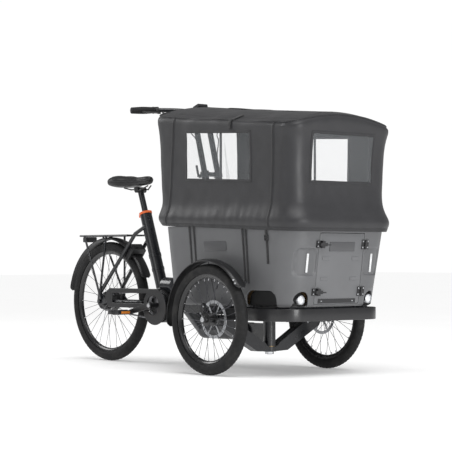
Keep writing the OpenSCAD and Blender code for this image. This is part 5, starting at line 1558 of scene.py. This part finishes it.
class BICYCLE_OT_seat(bpy.types.Operator):
    """Saddle, its piping, rails and post"""

    bl_idname = "bicycle.seat"
    bl_label = "Seat"

    def execute(self, context):
        tail = POST_TOP[0] + SADDLE_NOSE - SADDLE_LONG
        # Share of the length from the tail, half width, top and underside
        sections = [(0.000, 0.030, 0.000, 0.012), (0.012, 0.066, 0.014, -0.012), (0.060, 0.093, 0.027, -0.026),
                    (0.170, 0.1020, 0.031, -0.031), (0.310, 0.094, 0.029, -0.031), (0.440, 0.066, 0.0245, -0.029),
                    (0.560, 0.044, 0.0225, -0.026), (0.660, 0.031, 0.0235, -0.024), (0.800, 0.0265, 0.0240, -0.022),
                    (0.920, 0.0230, 0.0240, -0.018), (0.985, 0.0150, 0.0180, -0.008), (1.000, 0.0050, 0.0060, 0.002)]
        u, wide, top, low = spline(sections, 8).T
        a = round_angles(44)
        c, s = np.cos(a), np.sin(a)
        y = wide[:, None] * np.sign(c) * np.abs(c) ** 0.85
        middle = (top + low)[:, None] * 0.5
        up = (top[:, None] - middle) * np.abs(s) ** 0.80
        down = (low[:, None] - middle) * np.abs(s) ** 0.55
        z = middle + np.where(s >= 0, up, down)
        middle_run = (ramp(u, 0.16, 0.30) * (1 - ramp(u, 0.70, 0.84)))[:, None]
        groove = 0.0045 * np.exp(-(y / 0.011) ** 2) * middle_run * (s > 0)
        pads = 0.0035 * np.exp(-((np.abs(y) - 0.052) / 0.030) ** 2 - ((u[:, None] - 0.17) / 0.13) ** 2) * (s > 0)
        z = z - groove + pads
        points = np.stack([np.broadcast_to((tail + u * SADDLE_LONG)[:, None], y.shape), y, SADDLE_Z + z], axis=-1)
        cover = put("saddle_cover", capped(points), "saddle", "seat", ("saddle",), sharp=70)
        edge = np.concatenate([points[3:-3, 0], points[3:-3, 22][::-1]])
        piping = tube(edge + [0, 0, -0.0005], 0.0021, 8, closed=True, up=(0, 0, 1))
        seams = [tube(points[8:60, k] + [0, 0, 0.0003], 0.0010, 6, up=(0, 0, 1)) for k in (6, 16)]
        put("saddle_piping", join(piping, *seams), "binding", "seat")
        softened("saddle_rails", "caliper")
        painted("seatpost", "paint")
        return {"FINISHED"}


def belt_line(pitch, small_r, large_r):
    """Evenly spaced points, and their directions, round the chain: two arcs joined by the circles' outer tangents."""
    small, large = REAR_AXLE[[0, 2]], CRANK[[0, 2]]
    across = large - small
    length = np.linalg.norm(across)
    tilt = math.atan2(across[1], across[0])
    lean = math.acos((small_r - large_r) / length)
    upper, lower = tilt + lean, tilt - lean
    arc_small = np.linspace(upper, lower + 2 * math.pi, 60)
    arc_large = np.linspace(lower, upper, 90)
    loop = np.vstack([centre + radius * np.column_stack([np.cos(arc), np.sin(arc)])
                      for centre, radius, arc in ((small, small_r, arc_small), (large, large_r, arc_large))])
    loop = np.vstack([loop, loop[:1]])
    run = lengths(loop)
    count = int(run[-1] / pitch / 2) * 2
    at = (np.arange(count) + 0.5) * run[-1] / count
    where = followed(at, run, loop)
    ahead = followed((at + 1e-3) % run[-1], run, loop) - where
    return where, np.arctan2(ahead[:, 1], ahead[:, 0])


class BICYCLE_OT_drive(bpy.types.Operator):
    """Chain of links, toothed rings, cranks and pedals"""

    bl_idname = "bicycle.drive"
    bl_label = "Drive"

    def execute(self, context):
        where, angle = belt_line(CHAIN_PITCH, SPROCKET_R, CHAINRING_R)
        place_at = np.column_stack([where[:, 0], np.full(len(where), CHAIN_Y), where[:, 1]])
        turns = turn_about((0, 1, 0), -angle)
        outline = np.concatenate([0.0040 * np.column_stack([np.cos(t), np.sin(t)]) + [x, 0] for x, t in
                                  ((CHAIN_HALF_LINK, np.linspace(-1.3, 1.3, 5)),
                                   (-CHAIN_HALF_LINK, np.linspace(1.84, 4.44, 5)))])

        def link(y):
            leaf = plate(outline, -0.0005, 0.0005, 0.00015, np.array([[1, 0, 0], [0, 0, -1], [0, 1, 0]]), (0, y, 0))
            return join(leaf, moved(leaf, by=(0, -2 * y, 0)))

        pin = rod((CHAIN_HALF_LINK, -0.0042, 0), (CHAIN_HALF_LINK, 0.0042, 0), 0.0021, 8, 0.0003)
        chain = join(copies(join(link(0.0036), pin), turns[::2], place_at[::2]),
                     copies(join(link(0.0024), pin), turns[1::2], place_at[1::2]))
        put("chain_links", chain, "chain", "rear_frame", ("chain",), outward=False)
        for name, centre, radius, teeth, body, slot in (
                ("chainring_teeth", CRANK, CHAINRING_R, 36, "crankset", "chain_steel"),
                ("sprocket_teeth", REAR_AXLE, SPROCKET_R, 18, "rear_wheel", "steel")):
            a = round_angles(teeth * 8)
            outer = radius - 0.0015 + 0.0026 * (0.5 + 0.5 * np.cos(a * teeth)) ** 0.8
            inner = np.full_like(a, radius - 0.0145)
            ring = np.stack([inner, outer - 0.0004, outer, outer - 0.0004, inner])
            y = np.array([-0.0011, -0.0011, 0, 0.0011, 0.0011])[:, None] + CHAIN_Y
            points = np.stack([ring * np.cos(a), np.broadcast_to(y, ring.shape), ring * np.sin(a)], axis=-1)
            put(name, grid(points + centre * [1, 0, 1], close=True), "chain", body)
        softened("cranks", "caliper", width=0.0030)
        softened("chainring", "chain", width=0.0006)
        cap = [(0.002, 0.0068), (0.010, 0.0070), (0.0112, 0.0078), (0.0104, 0.0096), (0.002, 0.0100)]
        caps = [lathe(cap, CRANK + [0, sign * 0.103, 0], (0, sign, 0), 32) for sign in (-1, 1)]
        put("crank_caps", join(*caps), "steel", "crankset")
        for side, sign in SIDES.items():
            at = joint_at(f"pedal_{side}_spin")
            put(f"pedal_{side}_cage", moved(self.pedal(), by=at), "plastic", f"pedal_{side}", (f"pedal_{side}",))
            lights = [slab((0.0030, 0.056, 0.0120), 0.0012, at + [x, 0, 0]) for x in (-0.0455, 0.0455)]
            put(f"pedal_{side}_reflectors", join(*lights), "amber", f"pedal_{side}")
        return {"FINISHED"}

    @staticmethod
    def pedal():
        """A platform pedal: a barrel, four rails, two ribs and rows of blunt studs."""
        parts = [lathe([(0.0071, -0.046), (0.0120, -0.046), (0.0130, -0.045), (0.0130, 0.045), (0.0120, 0.046),
                        (0.0071, 0.046)], (0, 0, 0), (0, 1, 0), 32, closed=True)]
        for size, radius, at in (((0.009, 0.092, 0.020), 0.0025, (0.0405, 0, 0)),
                                 ((0.080, 0.007, 0.020), 0.0025, (0, 0.0425, 0)),
                                 ((0.076, 0.006, 0.018), 0.0020, (0, 0.0145, 0))):
            parts += [slab(size, radius, -np.array(at)), slab(size, radius, at)]
        y, x = np.meshgrid(np.linspace(-0.040, 0.040, 9), (-0.0405, 0.0405))
        for z in (-0.0100, 0.0100):
            stud = slab((0.0050, 0.0040, 0.0022), 0.0008, (0, 0, z), bands=2)
            shifts = np.column_stack([x.ravel(), y.ravel(), np.zeros(x.size)])
            parts.append(copies(stud, np.tile(np.eye(3), (x.size, 1, 1)), shifts))
        return join(*parts)


# ---------------------------------------------------------------- stage


class BICYCLE_OT_stage(bpy.types.Operator):
    """Pale floor, soft studio lights and the camera"""

    bl_idname = "bicycle.stage"
    bl_label = "Stage"

    def execute(self, context):
        scene = bpy.context.scene
        spread = np.linspace(-40, 40, 64)
        x, y = np.meshgrid(spread, spread)
        floor_points = np.stack([x, y, np.full_like(x, -0.0004)], axis=-1)
        points, loops, counts = grid(floor_points, wrap=False)
        mesh = bpy.data.meshes.new("studio_floor")
        mesh.from_pydata(points.tolist(), [], loops.reshape(-1, 4).tolist())
        pale = Recipe("studio floor", 0.85, 0.0, 0.2)
        pale.colour(pale.tint(pale.between(pale.noise(1.5), 0, 1), (0.86, 0.86, 0.86), (0.89, 0.89, 0.89)))
        pale.shader.inputs["Emission Color"].default_value = (1.0, 1.0, 1.0, 1.0)
        pale.shader.inputs["Emission Strength"].default_value = 0.21
        mesh.materials.append(pale.material)
        floor = bpy.data.objects.new("studio_floor", mesh)
        scene.collection.objects.link(floor)
        world = bpy.data.worlds.new("studio")
        world.use_nodes = True
        tree = world.node_tree
        back, glow = tree.nodes["Background"], tree.nodes.new("ShaderNodeBackground")
        back.inputs["Color"].default_value = glow.inputs["Color"].default_value = (1.0, 1.0, 1.0, 1.0)
        glow.inputs["Strength"].default_value = 0.24
        back.inputs["Strength"].default_value = 1.02
        seen, mix = tree.nodes.new("ShaderNodeLightPath"), tree.nodes.new("ShaderNodeMixShader")
        tree.links.new(seen.outputs["Is Camera Ray"], mix.inputs["Fac"])
        tree.links.new(glow.outputs["Background"], mix.inputs[1])
        tree.links.new(back.outputs["Background"], mix.inputs[2])
        tree.links.new(mix.outputs["Shader"], tree.nodes["World Output"].inputs["Surface"])
        scene.world = world
        sun = bpy.data.lights.new("top", "SUN")
        sun.energy, sun.angle = 2.2, math.radians(50.0)
        top = bpy.data.objects.new("top", sun)
        top.rotation_euler = (math.radians(8.0), math.radians(24.0), 0.0)
        scene.collection.objects.link(top)
        # Name, place, width and power of each soft light
        for name, at, size, power in (("front", (5.2, -0.2, 1.0), 1.6, 78.0), ("side", (0.2, -5.0, 2.4), 2.4, 26.0),
                                      ("rear", (-4.2, -2.0, 3.2), 2.0, 70.0)):
            light = bpy.data.lights.new(name, "AREA")
            light.size, light.energy = size, power
            lamp = bpy.data.objects.new(name, light)
            lamp.location = at
            aim = np.array([0.15, 0, 0.6]) - at
            lamp.rotation_mode = "QUATERNION"
            lamp.rotation_quaternion = Vector(aim).to_track_quat("-Z", "Y")
            scene.collection.objects.link(lamp)
        scene.view_settings.view_transform = "Standard"
        data = bpy.data.cameras.new("studio camera")
        data.lens, data.sensor_width = 138.06, 36.0
        data.shift_x, data.shift_y = -0.0132, 0.0134
        data.clip_start, data.clip_end = 0.1, 120.0
        camera = bpy.data.objects.new("studio camera", data)
        camera.location = (6.702, -5.634, 0.551)
        aim = Vector((0.2665, 0.0, 0.6752)) - camera.location
        camera.rotation_mode = "QUATERNION"
        camera.rotation_quaternion = aim.to_track_quat("-Z", "Y") @ Matrix.Rotation(
            math.radians(-0.11), 3, "Z").to_quaternion()
        scene.collection.objects.link(camera)
        scene.camera = camera
        return {"FINISHED"}


# ---------------------------------------------------------------- add-on


class BICYCLE_PT_panel(bpy.types.Panel):
    """Sizes, colours and one button for each group of pieces"""

    bl_idname = "BICYCLE_PT_panel"
    bl_label = "Cargo Bicycle"
    bl_space_type = "VIEW_3D"
    bl_region_type = "UI"
    bl_category = "Cargo Bicycle"

    def draw(self, context):
        for group in (context.scene.bicycle_sizes, context.scene.bicycle_colours):
            for name in group.bl_rna.properties.keys()[2:]:
                self.layout.prop(group, name)
        for operator in OPERATORS:
            self.layout.operator(operator.bl_idname)


OPERATORS = (BICYCLE_OT_stage, BICYCLE_OT_handlebar, BICYCLE_OT_wheels, BICYCLE_OT_mudguards, BICYCLE_OT_box,
             BICYCLE_OT_chassis, BICYCLE_OT_hoops, BICYCLE_OT_hood, BICYCLE_OT_bench, BICYCLE_OT_rear_frame,
             BICYCLE_OT_seat, BICYCLE_OT_drive)
CLASSES = (BicycleSizes, BicycleColours, *OPERATORS, BICYCLE_PT_panel)


def register():
    """Registers the classes and the scene's two groups of settings."""
    for cls in CLASSES:
        bpy.utils.register_class(cls)
    bpy.types.Scene.bicycle_sizes = PointerProperty(type=BicycleSizes)
    bpy.types.Scene.bicycle_colours = PointerProperty(type=BicycleColours)


def unregister():
    """Takes everything back out."""
    del bpy.types.Scene.bicycle_colours
    del bpy.types.Scene.bicycle_sizes
    for cls in reversed(CLASSES):
        bpy.utils.unregister_class(cls)


def main():
    """Builds every piece in order."""
    register()
    prepare_finishes()
    for operator in OPERATORS:
        group, name = operator.bl_idname.split(".")
        getattr(getattr(bpy.ops, group), name)()


if __name__ == "__main__":
    main()
